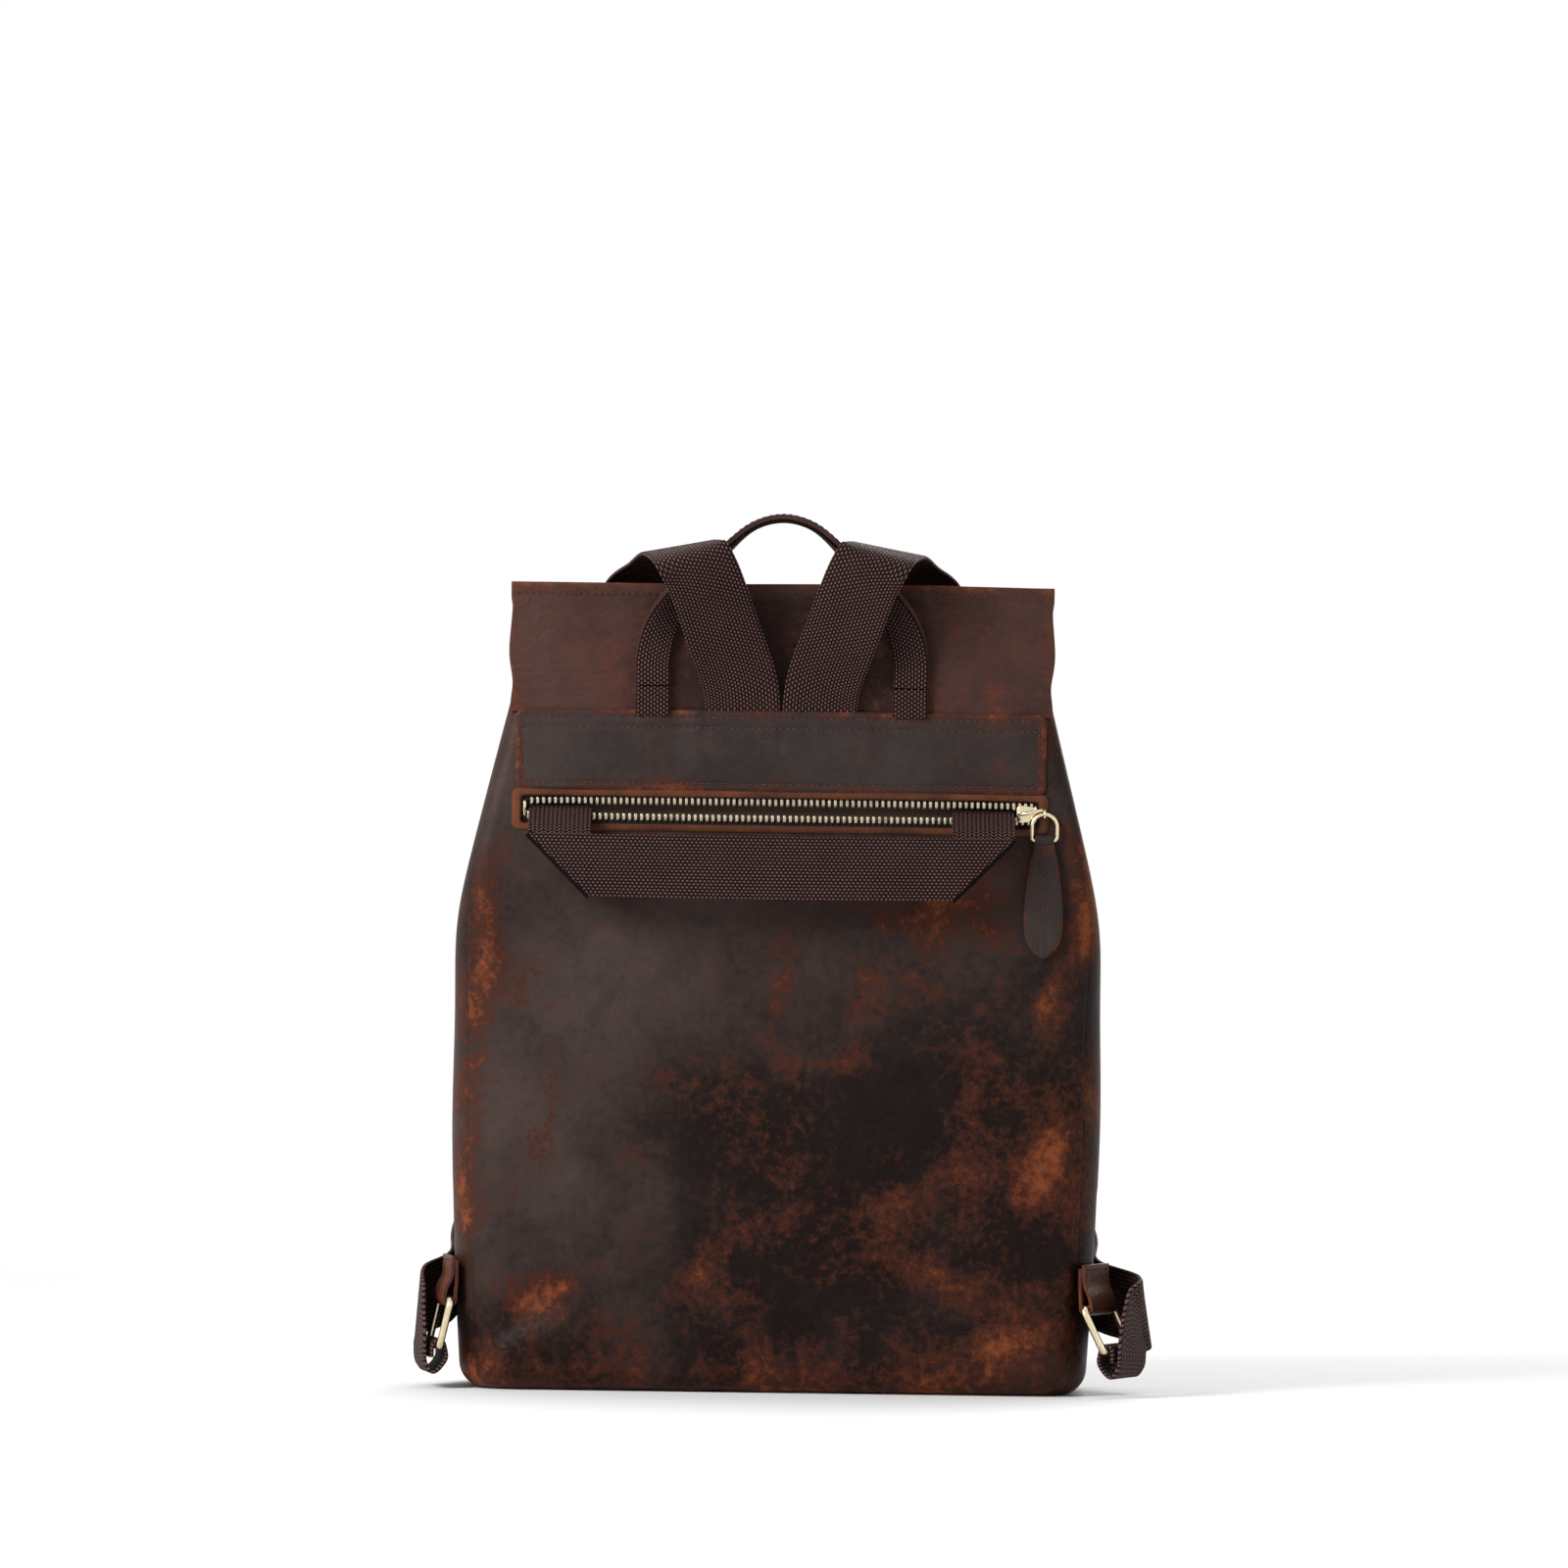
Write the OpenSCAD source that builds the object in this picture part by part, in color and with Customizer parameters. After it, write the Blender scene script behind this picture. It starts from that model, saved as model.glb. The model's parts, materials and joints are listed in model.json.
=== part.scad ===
// Leather backpack with a flap, a zipped back pocket, a trolley strap and webbing shoulder straps.
// Millimetres. Z is up, the wearer's side faces -Y and the base rests on Z = 0.

/* [Body] */
// Width across the belly
belly_w = 314; // [300:1:326]
// Width above the rounded edge of the base
base_w = 302; // [286:1:310]
// Width of the mouth
mouth_w = 247; // [240:1:256]
// Depth at the base
base_d = 120; // [108:1:140]
// Depth at the mouth
mouth_d = 104; // [96:1:112]
// Height of the seam where the back panel ends and the flap starts
seam_h = 329; // [318:1:340]
// Rise of the mouth at the sides and front above that seam
mouth_rise = 33; // [24:1:36]
// Height of the widest place
belly_h = 170; // [150:1:190]
// Height where the taper to the mouth starts
shoulder_h = 226; // [212:1:236]
// Radius of the upright back edges at the belly
back_r = 28; // [20:1:32]
// Radius of the upright back edges at the yoke
yoke_r = 9; // [8:0.5:12]
// Radius of the upright front edges
front_r = 34; // [24:1:38]
// Radius of the edge round the base
edge_r = 12; // [10:0.5:14]
// Thickness of the body leather
leather_t = 2; // [1.6:0.1:2.4]
// Thickness of the lining
lining_t = 0.8; // [0.6:0.1:1]
// Thickness of the base board
board_t = 2; // [1.5:0.1:2.5]

/* [Yoke and straps] */
// Width of the yoke band
yoke_w = 256; // [240:1:258]
// Height of the yoke band
yoke_h = 39; // [36:0.5:40]
// Width of the shoulder webbing
web_w = 36; // [32:0.5:37]
// Thickness of all webbing
web_t = 2; // [1.6:0.1:2.2]
// Length of strap held under the yoke
strap_hold = 22; // [16:1:28]
// Gap between the two straps at the yoke
strap_gap = 1; // [0.6:0.2:6]
// Height of a strap's crest above the flap
strap_crest = 16.5; // [15:0.5:19]
// How far a strap spreads outwards on its way from the yoke to the flap's lower edge
strap_out = 91; // [84:1:96]
// How far a strap bows out from the back before it turns over the flap
strap_bow = 31; // [30:0.5:34]

/* [Flap] */
// Width of the flap
flap_w = 262; // [256:1:268]
// Height of the riser between the yoke seam and the pinched seam
riser_h = 60; // [56:1:66]
// Drop of the lid from back to front
lid_drop = 9; // [6:0.5:11]
// Height of the flap's lower front edge
flap_low = 195; // [180:1:215]
// Radius of the flap's lower corners
flap_r = 26; // [16:1:34]
// Gap between the flap and the front panel
flap_gap = 2.4; // [2.2:0.1:3]
// Height of the closure's patch
patch_h = 36; // [30:1:44]
// Height of the patch above the flap's lower edge
patch_rise = 18; // [14:1:24]
// Width of the closure strap
closure_w = 40; // [32:1:48]
// Length of the closure strap below its patch
closure_len = 66; // [58:1:78]
// Radius of the snap's cap
snap_r = 9; // [7:0.5:11]

/* [Top handle] */
// Distance between the middles of the handle's ends
handle_span = 124; // [116:1:132]
// Height of the handle's crest above the flap
handle_rise = 34; // [30:0.5:38]
// Width of the handle strap
handle_w = 17; // [14:0.5:18]
// Thickness of the handle leather
handle_t = 2.4; // [2:0.1:2.8]
// How far the handle's crest stands out from its ends
handle_out = 12; // [10:0.5:13]
// Height of the soft ends between the yoke seam and the handle
handle_foot = 12; // [11:0.5:15]

/* [Zip pocket] */
// Length of the slot for the zip
slot_w = 254; // [248:1:258]
// Height of the slot
slot_h = 15; // [14:0.5:16]
// Gap between the slot and the yoke
slot_drop = 1.5; // [1:0.5:3]
// Half of the gap between the tooth rows at the ends
tooth_gap = 1.5; // [1.4:0.05:1.7]
// How far each tooth row bows out in the middle
tooth_bow = 0.7; // [0.3:0.1:0.9]
// Pitch of the teeth
tooth_pitch = 2.87; // [2.6:0.01:3.2]
// Size of a tooth along the zip
tooth_w = 1.6; // [1.3:0.1:1.8]
// Height of a tooth
tooth_h = 2.6; // [2.2:0.1:2.8]
// Depth of the pocket below the slot
pocket_depth = 125; // [90:1:150]
// Inner thickness of the pocket
pocket_gap = 5.6; // [5:0.1:7]
// Thickness of the pocket cloth and the zip tapes
cloth_t = 0.6; // [0.4:0.1:0.7]

/* [Zip slider] */
// Length of the slider
slider_len = 9.2; // [8:0.2:10]
// Height of the slider
slider_h = 8.4; // [7.6:0.2:9]
// Length of the slider's nose, which carries the eye
nose_len = 4.2; // [3.6:0.2:5]
// Radius of the pull ring's wire
ring_wire = 0.95; // [0.8:0.05:1.1]
// Radius of the pull ring's arch
ring_arch = 6; // [5.6:0.1:7]
// Length of the pull ring's legs
ring_leg = 6.5; // [5.5:0.5:8]
// Length of the pull tab below the ring
tab_len = 57; // [44:1:64]
// Greatest width of the pull tab
tab_w = 19; // [16:0.5:20]
// Thickness of the pull tab
tab_t = 3.6; // [3:0.1:3.8]

/* [Trolley strap] */
// Width of the trolley webbing
trolley_w = 30; // [26:0.5:32]
// Length of the trolley strap from edge to edge
trolley_len = 234; // [226:1:236]
// How far the trolley strap stands off the back panel
trolley_off = 24; // [20:0.5:28]
// Drop from the zip to the band's upper edge
trolley_drop = 12; // [11:0.5:16]

/* [Lower strap rings] */
// Height of the ring's upper bar
ring_z = 43; // [41:0.5:48]
// Radius of the ring's wire
bar_r = 1.8; // [1.6:0.1:2]
// Distance between the ring's bars
ring_reach = 23.5; // [22:0.5:25]
// Outward tilt of the left ring
ring_tilt_left = 13; // [10:1:20]
// Outward tilt of the right ring
ring_tilt_right = 28; // [22:1:34]
// Turn of the left tab round the bag's back edge, towards the wearer
anchor_turn_left = 9; // [5:1:14]
// Turn of the right tab round the bag's back edge, towards the wearer
anchor_turn_right = 22; // [16:1:27]
// Length of the leather tab above the ring
anchor_len = 21; // [18:1:26]

/* [Hidden] */
$fn = 48;

// Clearances: between sewn layers, between moving pieces, round a turning pin
ply_gap = 0.1;
move_gap = 0.4;
pin_gap = 0.1;
// Room behind the strap ends under the yoke, between the handle's leather and its webbing,
// below the flap's axis, and beside the slot for the zip
strap_room = 0.5;
handle_ply = 0.25;
hinge_rise = 3.5;
hinge_room = 0.8;
slot_margin = 3;

back_y = -base_d / 2;
rim_h = seam_h + mouth_rise;
// Axis of the flap, in the middle of its leather and clear above the yoke
hinge_y = back_y + leather_t / 2;
hinge_z = seam_h + hinge_rise;
flap_top = seam_h + 1 + riser_h;
taper = (belly_w - mouth_w) / 2 / (rim_h - shoulder_h);
taper_soft = 10;
slot_top = seam_h - yoke_h - slot_drop;
zip_z = slot_top - slot_h / 2;

function mix(a, b, t) = a + (b - a) * t;
function clamp01(t) = min(1, max(0, t));
function ease(t) = let(c = clamp01(t)) c * c * (3 - 2 * c);
function unit(v) = v / norm(v);

// Outer shape of the body at a height: it widens where the flat of the back has to hold a longer slot
function plain_half(z) = belly_w / 2 - (belly_w - base_w) / 2 * pow(1 - min(z, belly_h) / belly_h, 2)
  - taper * taper_soft * ln(1 + exp((z - shoulder_h) / taper_soft));
slot_spread = max(0, slot_w / 2 + slot_margin + yoke_r - plain_half(zip_z));
function half_w(z) = plain_half(z) + slot_spread;
function front_y(z) = base_d / 2 - (base_d - mouth_d) * pow(z / rim_h, 2);
function back_rad(z) = mix(back_r, yoke_r, ease((z - belly_h) / (seam_h - 56 - belly_h)));
function front_rad(z) = mix(front_r, front_r - 10, ease((z - belly_h) / (rim_h - belly_h)));

function arc_pts(cx, cy, r, a0, a1, n) =
  [for (i = [0 : n]) let(a = mix(a0, a1, i / n)) [cx + r * cos(a), cy + r * sin(a)]];

// Corner arcs of the section at z, set in by i, and by ib at the back
function back_arc(z, i, ib, side, a0, a1) = let(r = max(1.5, back_rad(z) - i))
  arc_pts(side * (half_w(z) - i - r), back_y + ib + r, r, a0, a1, 3);
function front_arc(z, i, side, a0, a1) = let(r = max(1.5, front_rad(z) - i))
  arc_pts(side * (half_w(z) - i - r), front_y(z) - i - r, r, a0, a1, 3);
function back_line(z, i) = concat(back_arc(z, i, i, -1, 225, 270), back_arc(z, i, i, 1, 270, 315));
function right_line(z, i) = concat(back_arc(z, i, i, 1, 315, 360), front_arc(z, i, 1, 0, 45));
function front_line(z, i) = concat(front_arc(z, i, 1, 45, 90), front_arc(z, i, -1, 90, 135));
function left_line(z, i) = concat(front_arc(z, i, -1, 135, 180), back_arc(z, i, i, -1, 180, 225));
function outline(z, i, ib) = concat(back_arc(z, i, ib, -1, 180, 270),
  back_arc(z, i, ib, 1, 270, 360), front_arc(z, i, 1, 0, 90), front_arc(z, i, -1, 90, 180));

function lift(pts, z) = [for (p = pts) [p[0], p[1], z]];

// Levels of the walls: angles round the base edge, then heights
edge_steps = [0, 22.5, 45, 67.5];
wall_top = hinge_z - leather_t / 2 - hinge_room;
wall_steps = [0, 0.11, 0.24, 0.37, 0.5, 0.58, 0.63, 0.66, 0.69, 0.72, 0.77, 0.84, 0.92, 1];
wall_zs = [for (f = wall_steps) mix(edge_r, wall_top, f)];
rim_zs = concat(wall_zs, [mix(wall_top, rim_h, 0.5), rim_h]);

// Solid between an outer and an inner sheet of points: rows of [outer points, inner points]
module patch_solid(rows) {
  m = len(rows);
  n = len(rows[0][0]);
  pts = [for (r = rows) each concat(r[0], r[1])];
  o = function (i, k) i * 2 * n + k;
  q = function (i, k) i * 2 * n + n + k;
  faces = concat(
    [for (i = [0 : m - 2], k = [0 : n - 2]) each [
      [o(i, k), o(i + 1, k), o(i + 1, k + 1)], [o(i, k), o(i + 1, k + 1), o(i, k + 1)],
      [q(i, k), q(i + 1, k + 1), q(i + 1, k)], [q(i, k), q(i, k + 1), q(i + 1, k + 1)]]],
    [for (k = [0 : n - 2]) each [
      [o(0, k), o(0, k + 1), q(0, k + 1)], [o(0, k), q(0, k + 1), q(0, k)],
      [o(m - 1, k + 1), o(m - 1, k), q(m - 1, k)], [o(m - 1, k + 1), q(m - 1, k), q(m - 1, k + 1)]]],
    [for (i = [0 : m - 2]) each [
      [o(i + 1, 0), o(i, 0), q(i, 0)], [o(i + 1, 0), q(i, 0), q(i + 1, 0)],
      [o(i, n - 1), o(i + 1, n - 1), q(i + 1, n - 1)], [o(i, n - 1), q(i + 1, n - 1), q(i, n - 1)]]]);
  polyhedron(pts, faces);
}

// The same, closed round a loop
module loop_solid(rows) {
  m = len(rows);
  n = len(rows[0][0]);
  pts = [for (r = rows) each concat(r[0], r[1])];
  o = function (i, k) i * 2 * n + k % n;
  q = function (i, k) i * 2 * n + n + k % n;
  faces = concat(
    [for (i = [0 : m - 2], k = [0 : n - 1]) each [
      [o(i, k), o(i + 1, k), o(i + 1, k + 1)], [o(i, k), o(i + 1, k + 1), o(i, k + 1)],
      [q(i, k), q(i + 1, k + 1), q(i + 1, k)], [q(i, k), q(i, k + 1), q(i + 1, k + 1)]]],
    [for (k = [0 : n - 1]) each [
      [o(0, k), o(0, k + 1), q(0, k + 1)], [o(0, k), q(0, k + 1), q(0, k)],
      [o(m - 1, k + 1), o(m - 1, k), q(m - 1, k)], [o(m - 1, k + 1), q(m - 1, k), q(m - 1, k + 1)]]]);
  polyhedron(pts, faces);
}

// Strip swept along points p with width directions w, between offsets n0 and n1 on its face side
function spline(p, n) = let(m = len(p)) concat([for (i = [0 : m - 2], j = [0 : n - 1])
  let(t = j / n, a = p[max(0, i - 1)], b = p[i], c = p[i + 1], d = p[min(m - 1, i + 2)])
  0.5 * (2 * b + (c - a) * t + (2 * a - 5 * b + 4 * c - d) * t * t + (3 * b - a - 3 * c + d) * t * t * t)],
  [p[m - 1]]);
module strip(p, w, width, n0, n1) {
  m = len(p);
  rows = [for (i = [0 : m - 1])
    let(t = unit(p[min(m - 1, i + 1)] - p[max(0, i - 1)]), f = unit(cross(w[i], t)))
    let(s = cross(t, f) * width / 2)
    [[p[i] - s + f * n1, p[i] + s + f * n1], [p[i] - s + f * n0, p[i] + s + f * n0]]];
  patch_solid(rows);
}

// Closed outline of a bent sheet of thickness t with its middle along points p
function sheet_outline(p, t) = let(m = len(p), s = [for (i = [0 : m - 1])
  let(d = unit(p[min(m - 1, i + 1)] - p[max(0, i - 1)])) [-d[1], d[0]] * t / 2])
  concat([for (i = [0 : m - 1]) p[i] + s[i]], [for (i = [m - 1 : -1 : 0]) p[i] - s[i]]);

// Extrusions of an outline drawn in Y and Z, or in X and Z
module along_x(x0, x1) translate([x0, 0, 0]) rotate([90, 0, 90]) linear_extrude(x1 - x0) children();
module along_y(y0, y1) translate([0, y1, 0]) rotate([90, 0, 0]) linear_extrude(y1 - y0) children();
module box(a, b) translate(a) cube(b - a);

// Body panels
function edge_row(line, a) = [
  lift(line(edge_r * (1 - cos(a)), edge_r * (1 - sin(a))), edge_r * (1 - cos(a))),
  lift(line(edge_r * (1 - cos(a)), edge_r - (edge_r - leather_t) * sin(a)),
    edge_r - (edge_r - leather_t) * cos(a))];
function wall_rows(line, zs) = concat([for (a = edge_steps) edge_row(line, a)],
  [for (z = zs) [lift(line(z, 0), z), lift(line(z, leather_t), z)]]);

back_fn = function (z, i) back_line(z, i);
front_fn = function (z, i) front_line(z, i);
left_fn = function (z, i) left_line(z, i);
right_fn = function (z, i) right_line(z, i);

module back_panel() color([0.2, 0.15, 0.12]) difference() {
  patch_solid(wall_rows(back_fn, wall_zs));
  box([-slot_w / 2, back_y - 1, slot_top - slot_h], [slot_w / 2, back_y + leather_t + 1, slot_top]);
}
module front_panel() color([0.22, 0.16, 0.12]) patch_solid(wall_rows(front_fn, rim_zs));
module side_gusset_left() color([0.19, 0.14, 0.11]) patch_solid(wall_rows(left_fn, rim_zs));
module side_gusset_right() color([0.19, 0.14, 0.11]) patch_solid(wall_rows(right_fn, rim_zs));
module base_panel() color([0.17, 0.12, 0.1]) linear_extrude(leather_t)
  polygon(outline(0, edge_r, edge_r));

board_z = leather_t + ply_gap;
floor_z = board_z + board_t + ply_gap;
module base_board() color([0.5, 0.4, 0.28]) translate([0, 0, board_z]) linear_extrude(board_t)
  polygon(outline(0, edge_r + 0.3, edge_r + 0.3));

// Lining: hangs inside the walls, with room at the back for the zip pocket
lining_gap = 0.4;
pouch_t = pocket_gap + 2 * cloth_t;
pouch_top = slot_top + 9;
pouch_y = back_y + leather_t + 0.2;
function lining_in(z) =
  edge_r - sqrt(pow(edge_r - leather_t - lining_gap, 2) - pow(max(0, edge_r - z), 2));
function lining_back(z) = max(lining_in(z), leather_t + mix(pouch_t + 0.8, lining_gap,
  ease((z - pouch_top - 2) / (seam_h - 8 - pouch_top))));
lining_zs = concat([floor_z, floor_z + 2, mix(floor_z + 2, edge_r, 0.5), edge_r],
  [for (f = wall_steps) if (f > 0) mix(edge_r, seam_h - 1, f)],
  [pouch_top + 2, mix(pouch_top, seam_h, 0.5)]);
function sorted(v) = len(v) <= 1 ? v : let(a = v[floor(len(v) / 2)])
  concat(sorted([for (x = v) if (x < a) x]), [for (x = v) if (x == a) x],
    sorted([for (x = v) if (x > a) x]));
module lining() color([0.45, 0.36, 0.26]) union() {
  loop_solid([for (z = sorted(lining_zs)) [
    lift(outline(z, lining_in(z), lining_back(z)), z),
    lift(outline(z, lining_in(z) + lining_t, lining_back(z) + lining_t), z)]]);
  translate([0, 0, floor_z]) linear_extrude(lining_t)
    polygon(outline(floor_z, lining_in(floor_z) + lining_t / 2, lining_back(floor_z) + lining_t / 2));
}

// Leather facing inside the mouth, on three sides
facing_t = 1.4;
function facing_line(z, i) = concat(back_arc(z, i, i, 1, 315, 360), front_arc(z, i, 1, 0, 90),
  front_arc(z, i, -1, 90, 180), back_arc(z, i, i, -1, 180, 225));
facing_in = leather_t + ply_gap;
module mouth_facing() color([0.3, 0.2, 0.13])
  patch_solid([for (z = [wall_top, mix(wall_top, rim_h, 0.5), rim_h])
    [lift(facing_line(z, facing_in), z), lift(facing_line(z, facing_in + facing_t), z)]]);

// Yoke band over the strap ends
yoke_skin = 1.9;
strap_bed = web_t + strap_room + ply_gap;
yoke_t = yoke_skin + strap_bed;
strap_x = (strap_gap + web_w) / 2;
strap_y = back_y - strap_room - web_t / 2;
module yoke_band() color([0.16, 0.13, 0.12]) difference() {
  box([-yoke_w / 2, back_y - yoke_t, seam_h - yoke_h], [yoke_w / 2, back_y, seam_h]);
  for (s = [-1, 1])
    box([s * strap_x - web_w / 2 - ply_gap, back_y - strap_bed, seam_h - strap_hold - ply_gap],
      [s * strap_x + web_w / 2 + ply_gap, back_y + 1, seam_h + 1]);
}

// Zip pocket
pouch_x = slot_w / 2 + slot_margin + 1;
pouch_low = slot_top - slot_h - pocket_depth;
module zip_pocket_pouch() color([0.2, 0.17, 0.15]) difference() {
  box([-pouch_x, pouch_y, pouch_low], [pouch_x, pouch_y + pouch_t, pouch_top]);
  box([-pouch_x + cloth_t, pouch_y + cloth_t, pouch_low + cloth_t],
    [pouch_x - cloth_t, pouch_y + cloth_t + pocket_gap, pouch_top - cloth_t]);
  box([-pouch_x - 1, pouch_y - 1, slot_top - slot_h - 8],
    [pouch_x + 1, pouch_y + cloth_t + 0.2, pouch_top + 1]);
}

// Zip tapes and teeth: rows that bow apart between the stops
tape_hold = 7.8;
tape_y = back_y + leather_t + 0.05;
tooth_y = tape_y - 1.1;
tooth_d = 2.8;
zip_half = slot_w / 2 - 1;
function bow(x) = tooth_gap + tooth_bow * (1 - pow(abs(x) / zip_half, 4));
bow_xs = [for (f = [-1 : 0.125 : 1]) f * zip_half];
module zip_tape(s) along_y(tape_y, tape_y + cloth_t) polygon(concat(
  [for (x = bow_xs) [x, zip_z + s * (bow(x) + tooth_h + 0.05)]],
  [[zip_half, zip_z + s * (slot_h / 2 + tape_hold)], [-zip_half, zip_z + s * (slot_h / 2 + tape_hold)]]));
module zip_teeth(s) {
  n = floor((zip_half - 5) / tooth_pitch);
  for (i = [-n : n]) {
    x = (i + s * 0.25) * tooth_pitch;
    z = zip_z + s * (bow(x) + tooth_h / 2);
    translate([x, tooth_y + tooth_d / 2, z]) cube([tooth_w, tooth_d, tooth_h], center = true);
  }
}
module zip_tape_upper() color([0.12, 0.1, 0.1]) zip_tape(1);
module zip_tape_lower() color([0.12, 0.1, 0.1]) zip_tape(-1);
module zip_teeth_upper() color([0.75, 0.58, 0.3]) zip_teeth(1);
module zip_teeth_lower() color([0.75, 0.58, 0.3]) zip_teeth(-1);
module zip_end_stops() color([0.75, 0.58, 0.3]) for (s = [-1, 1])
  translate([s * (zip_half - 1.4), tooth_y + tooth_d / 2, zip_z])
    cube([1.8, tooth_d, 2 * (bow(zip_half - 1.4) + tooth_h) - 0.4], center = true);

// Slider with an eye for the pull ring
slider_x = zip_half - 2.7 - slider_len / 2;
eye_r = ring_wire + 0.4;
plate_y = tooth_y - move_gap;
eye_y = plate_y - 1.8 - eye_r - 0.5;
nose_x = slider_x + slider_len / 2;
eye_x = nose_x + nose_len;
eye_z = zip_z;
module zip_slider() color([0.8, 0.64, 0.38]) difference() {
  union() {
    box([slider_x - slider_len / 2, plate_y - 1.8, zip_z - slider_h / 2],
      [slider_x + slider_len / 2, plate_y, zip_z + slider_h / 2]);
    box([slider_x - slider_len / 2, tooth_y + tooth_d + move_gap, zip_z - slider_h / 2],
      [slider_x + slider_len / 2, tooth_y + tooth_d + move_gap + 1.1, zip_z + slider_h / 2]);
    box([slider_x + slider_len / 2 - 3, plate_y - 1, zip_z - tooth_gap + move_gap],
      [slider_x + slider_len / 2 - 0.8, tooth_y + tooth_d + move_gap + 1, zip_z + tooth_gap - move_gap]);
    box([nose_x - 1.5, plate_y - 3.1, eye_z + eye_r], [eye_x, plate_y - 1.1, eye_z + eye_r + 1]);
    box([eye_x - 1.2, eye_y - eye_r - 1, eye_z - eye_r - 1], [eye_x + 1.2, plate_y - 1, eye_z + eye_r + 1]);
  }
  translate([eye_x, eye_y, eye_z]) rotate([0, 90, 0]) cylinder(r = eye_r, h = 6, center = true);
}

// Pull ring: an arch through the eye, two legs and a lower bar
bar_z = eye_z - ring_arch - ring_leg;
module zip_pull_ring() color([0.85, 0.7, 0.45]) translate([eye_x, eye_y, eye_z - ring_arch]) {
  rotate([90, 0, 0]) rotate_extrude(angle = 180) translate([ring_arch, 0]) circle(r = ring_wire);
  for (s = [-1, 1]) {
    translate([s * ring_arch, 0, -ring_leg]) cylinder(r = ring_wire, h = ring_leg);
    translate([s * ring_arch, 0, -ring_leg]) sphere(r = ring_wire);
  }
  translate([0, 0, -ring_leg]) rotate([0, 90, 0]) cylinder(r = ring_wire, h = 2 * ring_arch, center = true);
}

// Pull tab: leather folded over the ring's lower bar
tab_top = 2 * (ring_arch - ring_wire) - 2 * move_gap;
function tab_half(t) = mix(tab_top / 2, tab_w / 2, ease((t - 0.1) / 0.9));
tab_round = tab_len - tab_w / 2;
module zip_pull_tab() color([0.24, 0.18, 0.15]) translate([eye_x, eye_y, bar_z]) difference() {
  union() {
    along_y(-tab_t / 2, tab_t / 2) polygon(concat(
      [for (i = [0 : 10]) [tab_half(i / 10), -tab_round * i / 10]],
      [for (a = [-10 : -10 : -170]) [tab_w / 2 * cos(a), -tab_round + tab_w / 2 * sin(a)]],
      [for (i = [10 : -1 : 0]) [-tab_half(i / 10), -tab_round * i / 10]]));
    rotate([0, 90, 0]) cylinder(r = tab_t / 2 + 0.7, h = tab_top, center = true);
  }
  rotate([0, 90, 0]) cylinder(r = ring_wire + pin_gap, h = tab_top + 2, center = true);
}

// Trolley strap: two legs out of the zip, between its stop and its slider, folded at 45 degrees into a band
leg_inset = 5;
leg_room = 1.1;
leg_edge = [-zip_half + leg_inset, slider_x - slider_len / 2 - leg_room];
trolley_x = (leg_edge[0] + leg_edge[1]) / 2;
trolley_y = back_y - 1.4;
band_top = zip_z - trolley_drop;
band_low = band_top - trolley_w;
leg_y = back_y - trolley_off + web_t / 2;
leg_path = [[trolley_y, zip_z], [mix(trolley_y, leg_y, 0.4), zip_z - trolley_drop * 0.3],
  [mix(trolley_y, leg_y, 0.75), zip_z - trolley_drop * 0.62], [leg_y + 1.6, zip_z - trolley_drop * 0.95],
  [leg_y + 0.3, zip_z - trolley_drop * 1.25], [leg_y, zip_z - trolley_drop * 1.6], [leg_y, band_low]];
// Middle of a leg at a height: in the slot it keeps to the zip, and lower down to the end of the band
function leg_mid(s, z) = mix(leg_edge[(s + 1) / 2], trolley_x + s * trolley_len / 2,
  clamp01((zip_z - z) / trolley_drop)) - s * trolley_w / 2;
module trolley_leg(s) intersection() {
  union() {
    strip([for (q = leg_path) [leg_mid(s, q[1]), q[0], q[1]]], [for (q = leg_path) [1, 0, 0]],
      trolley_w, -web_t / 2, web_t / 2);
    translate([leg_mid(s, zip_z), trolley_y, zip_z]) rotate([0, 90, 0])
      cylinder(r = web_t / 2, h = trolley_w, center = true);
  }
  translate([trolley_x, 0, 0]) along_y(leg_y - 10, back_y + 10)
    polygon([[s * trolley_len, zip_z + 5], [s * trolley_len, band_top], [s * trolley_len / 2, band_top],
      [s * (trolley_len / 2 - trolley_w), band_low], [0, band_low], [0, zip_z + 5]]);
}
module trolley_strap() color([0.26, 0.18, 0.13]) union() {
  trolley_leg(-1);
  trolley_leg(1);
  translate([trolley_x, 0, 0]) along_y(leg_y - web_t * 1.4, leg_y - web_t * 0.4)
    polygon([[-trolley_len / 2, band_top], [trolley_len / 2, band_top],
      [trolley_len / 2 - trolley_w, band_low], [-trolley_len / 2 + trolley_w, band_low]]);
}
// Its ends, sewn inside the pocket
end_len = 40;
end_y = pouch_y + cloth_t + pocket_gap - web_t / 2 - ply_gap;
end_path = [[trolley_y + web_t / 2 + 0.5, zip_z], [tooth_y + tooth_d + 0.6, zip_z],
  [end_y - 0.5, zip_z - 2], [end_y, zip_z - 4], [end_y, zip_z - end_len]];
module trolley_strap_ends() color([0.26, 0.18, 0.13]) for (s = [-1, 1])
  along_x(leg_mid(s, zip_z) - trolley_w / 2, leg_mid(s, zip_z) + trolley_w / 2)
    polygon(sheet_outline(end_path, web_t));

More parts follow.
